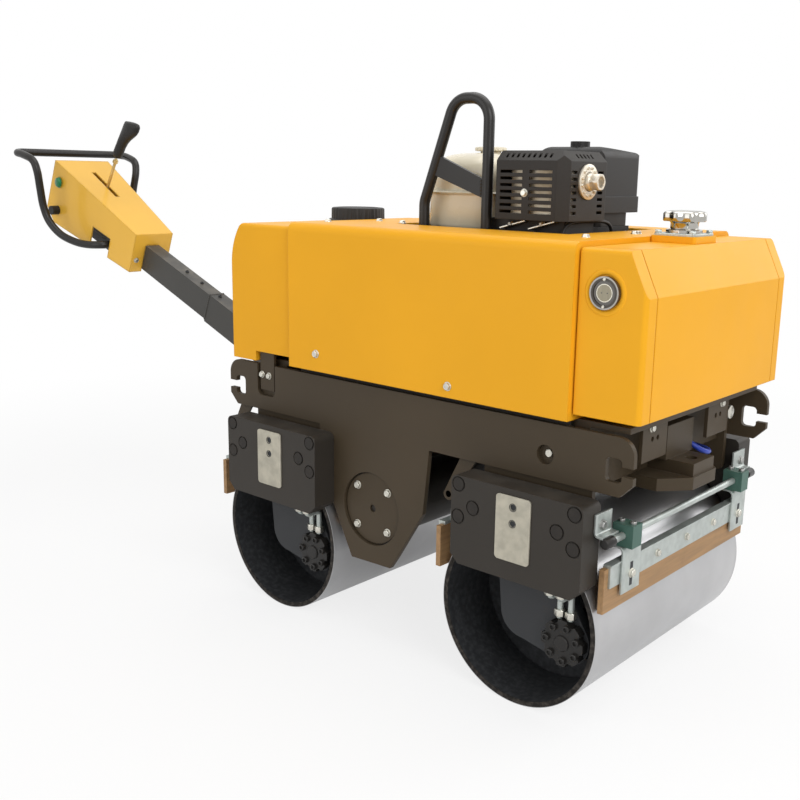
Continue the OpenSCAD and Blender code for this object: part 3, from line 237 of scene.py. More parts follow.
def carried(profile, path, size, side=SIDEWAYS):
    """Point (s, a): the flat profile point a, scaled by size at s, set across the path at s.
    The first profile axis lies along the side direction, made square to the path."""
    path, side = np.array(path, float), np.array(side, float)
    along = np.gradient(path, axis=0)
    along /= np.linalg.norm(along, axis=1, keepdims=True)
    u = side - along * (along @ side)[:, None]
    u /= np.linalg.norm(u, axis=1, keepdims=True)
    v = np.cross(along, u)
    flat = profile[None] * np.array(size, float)[:, None]
    return path[:, None] + flat[..., :1] * u[:, None] + flat[..., 1:] * v[:, None]


def closed(grid):
    """A tube's grid with one more row at each end, all of it in the middle of the end ring, so that it closes."""
    first, last = (np.broadcast_to(ring.mean(axis=0), ring.shape)[None] for ring in (grid[0], grid[-1]))
    return np.concatenate([first, grid, last])


def smooth_path(points, count):
    """A curve through the points, by the Catmull-Rom cubic, at even steps of its parameter."""
    p = np.array(points, float)
    p = np.concatenate([2 * p[:1] - p[1:2], p, 2 * p[-1:] - p[-2:-1]])
    t = np.linspace(0, len(points) - 1, count)
    i = np.minimum(t.astype(int), len(points) - 2)
    f = (t - i)[:, None]
    a, b, c, d = p[i], p[i + 1], p[i + 2], p[i + 3]
    return 0.5 * (2 * b + (c - a) * f + (2 * a - 5 * b + 4 * c - d) * f**2 + (3 * b - a - 3 * c + d) * f**3)


def ring_of(count, radius, start):
    """Points of a ring across y: radius times the cosine and sine of even angles from the start in degrees."""
    turn = np.radians(np.arange(count) * 360 / count + start)
    return radius * np.stack([np.cos(turn), np.zeros(count), np.sin(turn)], -1)


def placed(name, data, axes=None, place=None):
    """A new object in the scene, with axes as columns and a place if they are given."""
    obj = bpy.data.objects.new(name, data)
    bpy.context.scene.collection.objects.link(obj)
    if axes is not None:
        turn = np.eye(4)
        turn[:3, :3], turn[:3, 3] = axes, place
        obj.matrix_world = Matrix(turn.tolist())
    return obj


def piece(name, grids, finish, body="chassis", sharp=38.0, replaces=None):
    """Puts tube-like grids, whose columns close, into one mesh with a finish, and lets it ride on a body.
    Edges over the sharp angle in degrees stay sharp. The piece may stand for a solid that it replaces."""
    counts = [grid.shape[0] * grid.shape[1] for grid in grids]
    starts = np.cumsum([0] + counts[:-1])
    faces = [quads(*grid.shape[:2], True) + start for grid, start in zip(grids, starts)]
    corners = np.concatenate(faces).astype(np.int32)
    places = np.concatenate([grid.reshape(-1, 3) for grid in grids]).astype(np.float32)
    mesh = bpy.data.meshes.new(name)
    mesh.vertices.add(len(places))
    mesh.vertices.foreach_set("co", places.ravel())
    mesh.loops.add(corners.size)
    mesh.loops.foreach_set("vertex_index", corners.ravel())
    mesh.polygons.add(len(corners))
    mesh.polygons.foreach_set("loop_start", np.arange(0, corners.size, 4, dtype=np.int32))
    mesh.update(calc_edges=True)
    shape = bmesh.new()
    shape.from_mesh(mesh)
    bmesh.ops.remove_doubles(shape, verts=shape.verts, dist=1e-6)
    bmesh.ops.recalc_face_normals(shape, faces=shape.faces)
    shape.to_mesh(mesh)
    shape.free()
    mesh.validate()
    mesh.shade_smooth()
    mesh.set_sharp_from_angle(angle=math.radians(sharp))
    mesh.materials.append(FINISH[finish])
    obj = placed(name, mesh)
    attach(obj, body)
    if replaces:
        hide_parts(replaces)


def hex_bolt(place, direction, thread, turn, washer=True):
    """A hexagon bolt: washer, flats, turned top chamfer, as rows of a spun profile."""
    flat = 1.10 if washer else 0.80
    radius = thread * np.array([0.4, flat, flat, 0.97 * flat, 0.82, 0.82, 0.80, 0.70, 0.66, 0.0])
    height = thread * np.array([-0.1, -0.1, 0.12, 0.17, 0.17, 0.62, 0.70, 0.78, 0.74, 0.74])
    share = [0, 0, 0, 0, 1, 1, 0.5, 0, 0, 0]
    return turned(radius, height, place, direction, HEAD_POINTS, hexagon(HEAD_POINTS), share, turn)


def round_bolt(place, direction, thread):
    """A round head with a hexagon socket: crowned cap and a recess, as rows of a spun profile."""
    radius = thread * np.array([0.5, 0.80, 0.80, 0.76, 0.68, 0.44, 0.42, 0.0])
    height = thread * np.array([-0.1, -0.1, 0.50, 0.62, 0.68, 0.70, 0.36, 0.34])
    share = [0, 0, 0, 0, 0, 1, 1, 0]
    return turned(radius, height, place, direction, HEAD_POINTS, hexagon(HEAD_POINTS), share)


def hex_nut(place, half, height):
    """An upright nut round a pipe: hexagon flats between two turned chamfers, as rows of a spun profile."""
    radius = half * np.array([0.6, 0.95, 1, 1, 0.95, 0.6])
    level = height * np.array([0, 0, 0.12, 0.88, 1, 1])
    return turned(radius, level, place, UP, HEAD_POINTS, hexagon(HEAD_POINTS), [0, 0, 1, 1, 0, 0])


def bent_strip(path, width, thick, side=SIDEWAYS, around=40, power=24):
    """A strip of sheet: an oblong with rounded corners carried along the path, its width along the side."""
    return closed(carried(oblong(around, power), path, np.tile([width / 2, thick / 2], (len(path), 1)), side))


def flat_bar(start, end, width, thick, side=SIDEWAYS):
    """A flat bar: an oblong with rounder corners carried from start to end."""
    return bent_strip(np.linspace(start, end, 4), width, thick, side, around=24, power=16)


def tube_through(points, diameter, count=40, around=14, side=SKEW):
    """A tube: a circle carried along a smooth curve through the points."""
    return closed(carried(circle(around), smooth_path(points, count), np.full((count, 2), diameter / 2), side))


def weld_bead(points, radius, step=0.007):
    """A weld bead: a circle carried along the path, its radius rippling as 1 + 0.14 sin of the length."""
    ends = np.array(points, float)
    length = np.concatenate([[0], np.cumsum(np.linalg.norm(np.diff(ends, axis=0), axis=1))])
    s = np.linspace(0, length[-1], max(8, int(length[-1] / step * 6)))
    path = np.stack([np.interp(s, length, ends[:, k]) for k in range(3)], -1)
    ripple = radius * (1 + 0.14 * np.sin(2 * math.pi * s / step))
    return closed(carried(circle(10), path, np.stack([ripple, ripple], -1), np.cross(ends[-1] - ends[0], SKEW)))


# Shader maths


class Wire:
    """A value in a shader. Sums and products of wires add Math nodes."""

    def __init__(self, nodes, socket):
        self.nodes = nodes
        self.socket = socket

    def maths(self, operation, *values):
        """A Math node's result for the values."""
        return self.nodes.node("ShaderNodeMath", {"operation": operation}, dict(enumerate(values)))

    def __add__(self, other):
        return self.maths("ADD", self, other)

    def __sub__(self, other):
        return self.maths("SUBTRACT", self, other)

    def __rsub__(self, other):
        return self.maths("SUBTRACT", other, self)

    def __mul__(self, other):
        return self.maths("MULTIPLY", self, other)

    def __lt__(self, other):
        return self.maths("LESS_THAN", self, other)

    def __pow__(self, other):
        return self.maths("POWER", self, other)

    __radd__ = __add__
    __rmul__ = __mul__

    def size(self):
        """The value without its sign."""
        return self.maths("ABSOLUTE", self)

    def between(self, low, high):
        """0 below the low value, 1 above the high one, and a smooth step between them."""
        return self.nodes.node(
            "ShaderNodeMapRange",
            {"interpolation_type": "SMOOTHSTEP"},
            {"Value": self, "From Min": low, "From Max": high},
        )


class Nodes:
    """A node tree whose nodes are all made by one method."""

    def __init__(self, tree):
        self.tree = tree
        tree.nodes.clear()

    def node(self, kind, settings, values, out=0):
        """A node of a kind, with its settings, its sockets set or linked, and one of its outputs as a wire."""
        made = self.tree.nodes.new(kind)
        for key, value in settings.items():
            setattr(made, key, value)
        for key, value in values.items():
            if isinstance(value, Wire):
                self.tree.links.new(value.socket, made.inputs[key])
            else:
                made.inputs[key].default_value = value
        return Wire(self, made.outputs[out]) if made.outputs else None

    def rays(self):
        """1 for a ray that the camera sees straight, and 1 for one that comes from a mirror or through glass."""
        seen = self.node("ShaderNodeLightPath", {}, {}, "Is Camera Ray")
        outputs = seen.socket.node.outputs
        mirrored, through = Wire(self, outputs["Is Glossy Ray"]), Wire(self, outputs["Is Transmission Ray"])
        return seen, seen.maths("MAXIMUM", mirrored, through)


class Finish(Nodes):
    """A material and the patterns that its shader is built from."""

    def __init__(self, name):
        self.material = bpy.data.materials.new(name)
        self.material.use_nodes = True
        super().__init__(self.material.node_tree)
        self.places = self.node("ShaderNodeTexCoord", {}, {}, "Object")

    def axes(self):
        """The three coordinates as wires."""
        first = self.node("ShaderNodeSeparateXYZ", {}, {0: self.places})
        return [Wire(self, output) for output in first.socket.node.outputs]

    def round_from(self, centre_x, centre_z):
        """Distances from an axis along y: ahead of it, above it and straight from it, and the place along it."""
        x, y, z = self.axes()
        dx, dz = x - centre_x, z - centre_z
        return dx, dz, (dx * dx + dz * dz) ** 0.5, y

    def noise(self, scale, detail=3.0, stretch=(1, 1, 1), rough=0.55, places=None):
        """Cloud noise from 0 to 1, with the pattern squeezed along each axis by the stretch."""
        moved = self.node(
            "ShaderNodeMapping", {"vector_type": "POINT"}, {"Vector": places or self.places, "Scale": stretch}
        )
        return self.node(
            "ShaderNodeTexNoise",
            {"noise_dimensions": "3D"},
            {"Vector": moved, "Scale": scale, "Detail": detail, "Roughness": rough},
        )

    def specks(self, scale, size):
        """1 inside scattered round specks, 0 elsewhere."""
        cells = self.node("ShaderNodeTexVoronoi", {"feature": "F1"}, {"Vector": self.places, "Scale": scale})
        return cells < size

    def mixed(self, factor, first, second):
        """The first colour where the factor is 0, the second where it is 1. Plain colours are screen colours."""
        first, second = (c if isinstance(c, Wire) else linear(c) for c in (first, second))
        return self.node("ShaderNodeMix", {"data_type": "RGBA"}, {0: factor, 6: first, 7: second}, 2)

    def tones(self, factor, colour, low, high):
        """A colour from its low to its high tint, as the factor goes from 0 to 1."""
        return self.mixed(factor, tint(colour, low), tint(colour, high))

    def upward(self):
        """How far the surface faces up, from 0 to 1."""
        normal = self.node("ShaderNodeNewGeometry", {}, {}, "Normal")
        parts = self.node("ShaderNodeSeparateXYZ", {}, {"Vector": normal}, "Z")
        return parts.maths("MAXIMUM", parts, 0.0)

    def rounded(self, radius):
        """The surface direction with its sharp edges softened, and how near an edge is."""
        soft = self.node("ShaderNodeBevel", {"samples": 4}, {"Radius": radius})
        straight = self.node("ShaderNodeNewGeometry", {}, {}, "Normal")
        match = self.node("ShaderNodeVectorMath", {"operation": "DOT_PRODUCT"}, {0: soft, 1: straight}, "Value")
        return soft, (1 - match).between(0.02, 0.22)

    def bump(self, height, depth, strength, normal=None):
        """Surface direction tilted by a height pattern of the given depth in metres."""
        values = {"Height": height, "Distance": depth, "Strength": strength}
        if normal is not None:
            values["Normal"] = normal
        return self.node("ShaderNodeBump", {}, values)

    def shade(self, **values):
        """The shader itself, with the named sockets set or linked."""
        names = {
            "base": "Base Color", "rough": "Roughness", "metal": "Metallic", "normal": "Normal",
            "coat": "Coat Weight", "coat_rough": "Coat Roughness", "specular": "Specular IOR Level",
        }
        self.show(self.node("ShaderNodeBsdfPrincipled", {}, {names[k]: v for k, v in values.items()}))
        return self.material

    def show(self, skin):
        """Joins a shader to the material's output."""
        self.node("ShaderNodeOutputMaterial", {}, {"Surface": skin})


DUST, FINE_DUST, DRUM_DUST = (0.62, 0.59, 0.54), (0.55, 0.53, 0.50), (0.30, 0.29, 0.28)
RIM_DARK, RIM_RUBBED = (0.14, 0.13, 0.12), (0.30, 0.28, 0.26)
SHEET_PALE, SHEET_BURNT = (0.86, 0.82, 0.74), (0.72, 0.64, 0.52)
LAMP_DARK, LAMP_DIM, LAMP_RING = (0.17, 0.15, 0.12), (0.28, 0.25, 0.20), (0.25, 0.22, 0.18)
LAMP_PLATE, LAMP_PLATE_LIT = (0.46, 0.43, 0.33), (0.58, 0.54, 0.42)
LAMP_LIP, LAMP_PIN = (0.76, 0.74, 0.68), (0.24, 0.22, 0.18)
TURNED_STEEL = (0.62, 0.62, 0.61)


def tint(colour, factor):
    """A colour made lighter or darker by a factor."""
    return tuple(min(1.0, c * factor) for c in colour)


def painted(
    name, colour, rough, peel=0.00012, worn=1.5, dust=0.08, coat=0.0, wear=0.4, edge=0.002, shine=0.25, drifts=0.04
):
    """Sprayed paint: tone drift, orange peel, dust on what faces up, and edges rubbed lighter by the worn factor."""
    f = Finish(name)
    drift = f.noise(2.6, 4.0)
    patch = f.noise(17.0, 5.0)
    tone = f.tones(drift.between(0.30, 0.72), colour, 1 - drifts, 1 + drifts)
    tone = f.mixed(f.upward() * patch.between(0.35, 0.8) * dust, tone, DUST)
    soft, near = f.rounded(edge)
    rub = near * f.noise(55.0, 4.0).between(0.48, 0.70) * wear
    tone = f.mixed(rub, tone, tint(colour, worn))
    gloss = rough + (patch - 0.5) * 0.14 + rub * 0.12
    skin = f.bump(f.noise(420.0, 2.0), peel, 0.6, soft)
    return f.shade(base=tone, rough=gloss, normal=skin, coat=coat, coat_rough=0.15, specular=shine)


def plated(name, colour, rough, streak=(1.0, 1.0, 1.0), spread=0.10, metal=0.9, dull=0.55):
    """Plated or bare steel: cloudy spangle, fine brushed streaks and a few dull specks."""
    f = Finish(name)
    cloud = f.noise(38.0, 4.0)
    lines = f.noise(300.0, 2.0, streak)
    spot = f.specks(90.0, 0.10) * f.noise(9.0, 3.0).between(0.52, 0.66)
    tone = f.tones(cloud.between(0.25, 0.75), colour, 1 - spread, 1 + spread)
    tone = f.mixed(spot * dull, tone, tint(colour, 0.55))
    soft, near = f.rounded(0.0012)
    tone = f.mixed(near * 0.35, tone, tint(colour, 1.25))
    gloss = rough + (cloud - 0.5) * 0.16 + (lines - 0.5) * 0.14 + spot * 0.2
    return f.shade(base=tone, rough=gloss, metal=metal, normal=f.bump(lines, 0.00006, 0.5, soft))


def moulded(name, colour, rough, grain=700.0, depth=0.00008, dust=0.10):
    """Moulded plastic or rubber: fine leather-like grain, faint handling marks and dust on top."""
    f = Finish(name)
    pebble = f.node("ShaderNodeTexVoronoi", {"feature": "SMOOTH_F1"}, {"Vector": f.places, "Scale": grain})
    marks = f.noise(26.0, 5.0)
    tone = f.tones(marks.between(0.35, 0.75), colour, 0.90, 1.12)
    tone = f.mixed(f.upward() * marks.between(0.4, 0.9) * dust, tone, FINE_DUST)
    soft, near = f.rounded(0.002)
    tone = f.mixed(near * 0.25, tone, tint(colour, 1.7))
    return f.shade(base=tone, rough=rough + (marks - 0.5) * 0.2, normal=f.bump(pebble, depth, 0.6, soft), specular=0.25)


def shell_steel(name, node, steel, inside):
    """A drum: turned steel outside with streaks round the shell, a rubbed rim, dark paint inside.
    The radius from the drum's axis tells the outside from the inside."""
    f = Finish(name)
    low, high = edges(node)
    centre_x, _, centre_z = middle(node).tolist()
    dx, dz, radius, y = f.round_from(centre_x, centre_z)
    turn = dx.maths("ARCTAN2", dz, dx)
    outer = float(high[0] - low[0]) / 2
    end = float(high[1])
    out = radius.between(outer - 0.0016, outer - 0.0006)
    rim = y.size().between(end - 0.0016, end - 0.0006) * radius.between(outer - 0.0132, outer - 0.0122)
    wrap = f.node("ShaderNodeCombineXYZ", {}, {0: turn * 0.35, 1: y, 2: radius})
    streak = f.noise(160.0, 3.0, (0.05, 1.0, 1.0), places=wrap)
    broad = f.noise(5.0, 4.0, (0.6, 1.0, 1.0), places=wrap)
    grit = f.noise(90.0, 5.0)
    lip = y.size().between(end - 0.020, end) * broad.between(0.40, 0.75)
    metal = f.tones(broad.between(0.3, 0.75), steel, 0.965, 1.03)
    metal = f.mixed(lip * 0.18 + grit.between(0.70, 0.82) * 0.05, metal, tint(steel, 0.75))
    paint = f.tones(grit.between(0.35, 0.75), inside, 0.85, 1.20)
    paint = f.mixed(f.upward() * grit.between(0.50, 0.80) * 0.18, paint, DRUM_DUST)
    edge = f.mixed(grit.between(0.40, 0.75), RIM_DARK, RIM_RUBBED)
    tone = f.mixed(out, f.mixed(rim, paint, edge), metal)
    rough = 0.52 - out * 0.22 + (streak - 0.5) * 0.06 + lip * 0.08
    bare = out.maths("MAXIMUM", out, rim * 0.5)
    height = streak * out * 0.12 + grit * (1 - out)
    return f.shade(base=tone, rough=rough, metal=bare * 0.80, normal=f.bump(height, 0.00006, 0.4), specular=0.2)


def laminate(name, colour):
    """Scraper board: cloth-reinforced laminate with long fibres, paler cut edges and scuffs."""
    f = Finish(name)
    fibre = f.noise(120.0, 4.0, (1.0, 0.06, 1.0))
    scuff = f.noise(14.0, 5.0)
    tone = f.tones(fibre.between(0.30, 0.70), colour, 0.93, 1.05)
    tone = f.mixed(scuff.between(0.55, 0.80) * 0.30, tone, tint(colour, 0.70))
    soft, near = f.rounded(0.0015)
    tone = f.mixed(near * 0.4, tone, tint(colour, 1.25))
    return f.shade(base=tone, rough=0.55 + (fibre - 0.5) * 0.2, normal=f.bump(fibre, 0.0003, 0.6, soft), specular=0.3)


def muffler_skin(name):
    """Aluminised sheet with heat tint."""
    f = Finish(name)
    heat = f.noise(11.0, 4.0)
    tone = f.mixed(heat.between(0.35, 0.7), SHEET_PALE, SHEET_BURNT)
    return f.shade(base=tone, rough=0.42 + (heat - 0.5) * 0.2, metal=0.35, normal=f.bump(f.noise(260.0), 0.0001, 0.5))


def lamp_glass(name, centre_x, centre_z):
    """Lens over a small bowl: a dull yellow bulb plate with two pins, a bright lip and a dark surround.
    All follow from the distance to the lamp's middle; the flute pattern paints stripes of light and shade on plate and
    surround."""
    f = Finish(name)
    dx, dz, radius, _ = f.round_from(centre_x, centre_z)
    bowl = 1 - radius.between(0.0150, 0.0156)
    lip = radius.between(0.0148, 0.0156) * (1 - radius.between(0.0168, 0.0176))
    from_pin = dx.size() - 0.0062
    pin = 1 - ((from_pin * from_pin + dz * dz) ** 0.5).between(0.0011, 0.0016)
    flutes_and_light_stripes = f.noise(240.0, 1.0, (1.0, 1.0, 0.1))
    # Painted light: the flute pattern mixes lit and shaded copies of the surround (LAMP_DARK, LAMP_DIM) and of the
    # plate (LAMP_PLATE, LAMP_PLATE_LIT); it also gives the real flute relief in the bump
    tone = f.mixed(flutes_and_light_stripes, LAMP_DARK, LAMP_DIM)
    tone = f.mixed(bowl, tone, f.mixed(flutes_and_light_stripes, LAMP_PLATE, LAMP_PLATE_LIT))
    tone = f.mixed(lip * 0.9, tone, LAMP_LIP)
    tone = f.mixed(pin, tone, LAMP_PIN)
    skin = f.bump(flutes_and_light_stripes * 0.3 + lip, 0.0008, 0.6)
    return f.shade(base=tone, rough=0.16, metal=lip * 0.8, coat=0.4, coat_rough=0.03, normal=skin)


def lamp_bezel(name, centre_x, centre_z, outer, chrome):
    """Lamp ring: dark inside, with a bright outer lip of 3 mm, told apart by the distance to the lamp's middle."""
    f = Finish(name)
    lip = f.round_from(centre_x, centre_z)[2].between(outer - 0.0036, outer - 0.0028)
    grain = f.noise(90.0, 3.0)
    tone = f.mixed(grain, LAMP_DARK, LAMP_RING)
    tone = f.mixed(lip, tone, tint(chrome, 0.80))
    return f.shade(base=tone, rough=0.40 - lip * 0.12, metal=lip * 0.9, normal=f.bump(grain, 0.00005, 0.5))


FINISH = {}


def make_finishes(c):
    """All finishes, by name."""
    lens_x, _, lens_z = middle("lamp_lenses").tolist()
    along_x, along_y, along_z = (0.1, 1.0, 1.0), (1.0, 0.10, 1.0), (1.0, 1.0, 0.1)
    hood = {"peel": 0.00006, "dust": 0.02, "wear": 0.35, "drifts": 0.012}
    FINISH.update(
        bodywork=painted("bodywork_yellow", c.bodywork, 0.40, worn=1.06, coat=0.02, edge=0.003, shine=0.13, **hood),
        # The control box's paler yellow paints the sunlit glare on it
        control=painted("control_yellow", c.control, 0.36, worn=1.08, coat=0.30, edge=0.009, shine=0.30, **hood),
        chassis=painted("chassis_brown", c.chassis, 0.46, worn=1.55, shine=0.2),
        boxes=painted("box_charcoal", c.boxes, 0.50, peel=0.00016),
        drawbar=painted("drawbar_grey", c.drawbar, 0.42, peel=0.00010, dust=0.35),
        black=painted("satin_black", c.black, 0.34, peel=0.00010, worn=1.8, dust=0.05, coat=0.12),
        guard=painted("guard_black", c.guard, 0.46, worn=1.7, dust=0.05),
        plastic=moulded("black_plastic", c.plastic, 0.46),
        rubber=moulded("black_rubber", c.rubber, 0.62, grain=420.0, depth=0.00012, dust=0.06),
        inside=painted("inside_black", c.drum_inside, 0.55, peel=0.00016),
        front_shell=shell_steel("front_drum_steel", "front_drum", c.steel, c.drum_inside),
        rear_shell=shell_steel("rear_drum_steel", "rear_drum", c.steel, c.drum_inside),
        plate=plated("bare_plate", c.plate, 0.50, (0.08, 1.0, 1.0), spread=0.07, metal=0.35, dull=0.3),
        zinc=plated("zinc_plate", c.zinc, 0.36, along_y, spread=0.06, metal=0.55),
        bolt=plated("bolt_zinc", c.bolt, 0.30, spread=0.05),
        chrome=plated("chrome_bright", c.chrome, 0.10, along_z, spread=0.03, metal=1.0, dull=0.2),
        turned=plated("turned_steel", TURNED_STEEL, 0.34, along_x, spread=0.08),
        tank=painted("tank_enamel", c.tank, 0.26, peel=0.00004, worn=0.85, dust=0.03, coat=0.45, edge=0.004),
        clamp=painted("clamp_green", c.clamp, 0.42, worn=1.6),
        board=laminate("board_laminate", c.board),
        brass=plated("lever_chromate", c.brass, 0.32, along_z, metal=0.85),
        button=painted("button_green", c.button, 0.30, peel=0.00004, worn=1.2, dust=0.04, coat=0.3),
        engine=painted("engine_cast", c.engine, 0.55, peel=0.00030),
        muffler=muffler_skin("muffler_sheet"),
        lamp=lamp_glass("lamp_glass", lens_x, lens_z),
        bezel=lamp_bezel("lamp_bezel", lens_x, lens_z, 0.031, c.chrome),
        spout=plated("spout_steel", c.spout, 0.36, along_x, spread=0.06, metal=0.6, dull=0.3),
        tube=moulded("tube_blue", c.tube, 0.30, grain=300.0, depth=0.00002, dust=0.0),
    )


# The solids that wear each finish
NODE_FINISH = {
    "chassis": "frame_side_right frame_side_left frame_cross hitch pivot_fork hood_brackets exciter_covers",
    "boxes": "support_boxes exciter_case",
    "inside": "drum_legs",
    "drawbar": "drawbar",
    "black": "drive_motors lift_hoop handlebar",
    "guard": "muffler_guard",
    "plastic": "air_cleaner oil_cap lever_grip throttle_knob",
    "rubber": "rubber_mounts",
    "front_shell": "front_drum",
    "rear_shell": "rear_drum",
    "plate": "box_plates",
    "zinc": "scraper_brackets scraper_rods scraper_straps scraper_channels motor_hoses",
    "spout": "exhaust_outlet",
    "chrome": "filler_cap",
    "bezel": "lamp_rings",
    "turned": "drum_axles pivot_pin",
    "tank": "fuel_tank fuel_cap",
    "clamp": "scraper_clamps",
    "board": "scraper_boards",
    "brass": "lever_rod",
    "button": "start_button",
    "engine": "engine_block",
    "muffler": "muffler",
    "lamp": "lamp_lenses",
    "bodywork": "hood water_tank oil_tank filler_flange",
    "control": "control_box",
}


class ROLLER_OT_finishes(bpy.types.Operator):
    """Make the finishes and put them on the solids"""

    bl_idname = "roller.finishes"
    bl_label = "Finishes"

    def execute(self, context):
        make_finishes(context.scene.roller_colours)
        dressed = set()
        for finish, names in NODE_FINISH.items():
            for name in names.split():
                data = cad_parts[name].data
                data.materials.clear()
                data.materials.append(FINISH[finish])
                dressed.add(name)
        left = set(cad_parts) - dressed
        if left:
            raise RuntimeError(f"no finish for {sorted(left)}")
        return {"FINISHED"}


# Places of the fittings: x from the middle between the drums, y and z, in millimetres

HOOD_BOLTS = ((-228, 676), (175, 659))  # x and z
BRACKET_BOLTS = ((-448, 593), (-422, 592))  # x and z
ROOF_BOLTS = ((-250, 93), (-154, 114), (414, 6), (414, 200), (-290, 230))  # x and y
FRONT_BOLTS = ((566, -160, 608), (566, 160, 608))
FRONT_PLUG = (559, 208, 579)
STUD_FACE, STUDS = -298, ((419, 556),)  # y, and x and z
PIVOT_THREAD, STUD_THREAD = 0.016, 0.010  # in metres
COVER_RING = 68  # radius of the bolts on an exciter cover
PLATE_HOLES = ((-345.5, 419), (-345.5, 453), (389.5, 419), (389.5, 453))  # x and z


def both_sides(face, places):
    """Places by x and z on a right face, and their mirror images on the left, each with its outward direction."""
    return [(at(x, s * face, z), (0, -s, 0)) for s in (1, -1) for x, z in places]


class ROLLER_OT_body_bolts(bpy.types.Operator):
    """Bolts of hood, covers, tank brackets, guard and pivot, the hood's seals and the sockets in the bare plates"""

    bl_idname = "roller.body_bolts"
    bl_label = "Body bolts"

    def execute(self, context):
        sizes = context.scene.roller_sizes
        hood_low, hood_high = edges("hood")
        cover = (middle("exciter_covers") - at(0, 0, 0)) * 1000
        ring = (ring_of(4, COVER_RING, 45) + cover)[:, [0, 2]]
        guard_bolt = at(225, right_face("muffler_guard"), 1059)
        rows = (
            (both_sides(right_face("hood"), HOOD_BOLTS), sizes.hood_bolt, 0.3),
            (both_sides(right_face("exciter_covers"), ring), sizes.hood_bolt, 0.2),
            (both_sides(right_face("hood_brackets"), BRACKET_BOLTS), sizes.small_bolt, 0.5),
            ([(at(x, s * y, hood_high[2] * 1000), UP) for x, y in ROOF_BOLTS for s in (1, -1)], sizes.small_bolt, 0.7),
            ([(at(*place), AHEAD) for place in FRONT_BOLTS], sizes.small_bolt, 0.4),
            ([(guard_bolt, RIGHT)], sizes.small_bolt, 0.2),
            ([(PIVOT + mm(0, s * 54, 0), (0, s, 0)) for s in (1, -1)], PIVOT_THREAD, 0.2),
        )
        grids = [hex_bolt(p, d, thread, turn) for places, thread, turn in rows for p, d in places]
        for p, d in both_sides(STUD_FACE, STUDS):
            grids.append(hex_bolt(p, d, STUD_THREAD, 0.1, washer=False))
            grids.append(turned(mm(5, 5), mm(-10, 2), p, d, 16))
        grids.append(turned(mm(10, 15, 15, 13.5, 0), mm(-2, -2, 9, 10, 10), at(*FRONT_PLUG), AHEAD))
        piece("body_bolts", grids, "bolt")
        rear, front, level = hood_low[0] + 0.01, hood_high[0] - 0.01, hood_low[2] - 0.012
        seals = [flat_bar((rear, y, level), (front, y, level), 0.012, 0.044) for y in (0.295, -0.295)]
        piece("hood_seals", seals, "rubber")
        sockets = [
            turned(mm(6.0, 8.6, 8.6, 7.4, 6.6, 0), mm(-1, -1, 0.5, 0.9, -2, -2.5), p, d)
            for p, d in both_sides(right_face("box_plates"), PLATE_HOLES)
        ]
        piece("plate_sockets", sockets, "inside")
        return {"FINISHED"}


# Each scraper: its x, the way it faces, the y of its two straps, and half the length of its channel
SCRAPERS = (
    (574.5, 1, (-232, 268), 304),
    (-574.5, -1, (-250, 250), 330),
    (160.5, -1, (-250, 250), 330),
    (-160.5, 1, (-250, 250), 272),
)
# A strap from its top to its foot: distance ahead of the scraper's x, and z
STRAP_BEND = (
    (-22, 386.3), (-12, 386.3), (-8, 386.1), (-4, 385.3), (-1, 383.4), (1.2, 380.2), (2.3, 376), (2.5, 371),
    (2.5, 330), (2.5, 289),
)
CHANNEL_TOP, CHANNEL_BOLTS, STRAP_BOLT, SLOT_ENDS, CLAMP_TOP = 357.6, 334, 326, (300, 350), 435  # z
STRAP_WIDTH, BRACKET_WIDTH, SHEET = 0.072, 0.060, 0.005  # in metres


class ROLLER_OT_scrapers(bpy.types.Operator):
    """Bent straps that hold the scraper boards, a dark bar as painted shade in each strap's slot, and the bolts of
    straps, channels, clamps and brackets
    """

    bl_idname = "roller.scrapers"
    bl_label = "Scrapers"

    def execute(self, context):
        thread = context.scene.roller_sizes.small_bolt
        tops, straps, slot_shades, bolts, heads = [], [], [], [], []
        for x, way, strap_places, half in SCRAPERS:
            out = (way, 0, 0)
            face, back = x + way * 5, x - way * 7.5
            tops.append(flat_bar(at(back, -half, CHANNEL_TOP), at(back, half, CHANNEL_TOP), 0.019, 0.0036, AHEAD))
            bolts += [hex_bolt(at(x, y, CHANNEL_BOLTS), out, thread, 0.3) for y in (-115, 16, 145)]
            for y in strap_places:
                straps.append(bent_strip([at(x + way * ahead, y, z) for ahead, z in STRAP_BEND], STRAP_WIDTH, SHEET))
                # A dark bar on the strap's face over its slot: painted shade in the slot
                slot_shades.append(flat_bar(*(at(face, y, z) for z in SLOT_ENDS), 0.010, 0.0012))
                bolts.append(hex_bolt(at(face, y, STRAP_BOLT), out, 1.15 * thread, 0.1))
            heads += [round_bolt(at(x + s, y, CLAMP_TOP), UP, thread) for y in (-250, 250) for s in (-13, 13)]
        heads += [hex_bolt(at(555, y, 442), AHEAD, 1.2 * thread, 0.2) for y in (-313, 313)]
        piece("channel_tops", tops, "zinc")
        piece("bent_straps", straps, "zinc", replaces="scraper_straps")
        piece("scraper_bolts", bolts, "bolt")
        piece("strap_slots", slot_shades, "inside")
        piece("clamp_bolts", heads, "turned")
        return {"FINISHED"}


FRONT_ROD, HUNG_RODS, ROD_LEVEL = 574.5, (-574.5, 160.5), 412
# A front rod bracket from its top to its lip: x and z
BRACKET_BEND = ((552.5, 466), (552.5, 432), (553.2, 427.5), (555.5, 424.2), (559, 422.6), (564, 422), (571, 422))


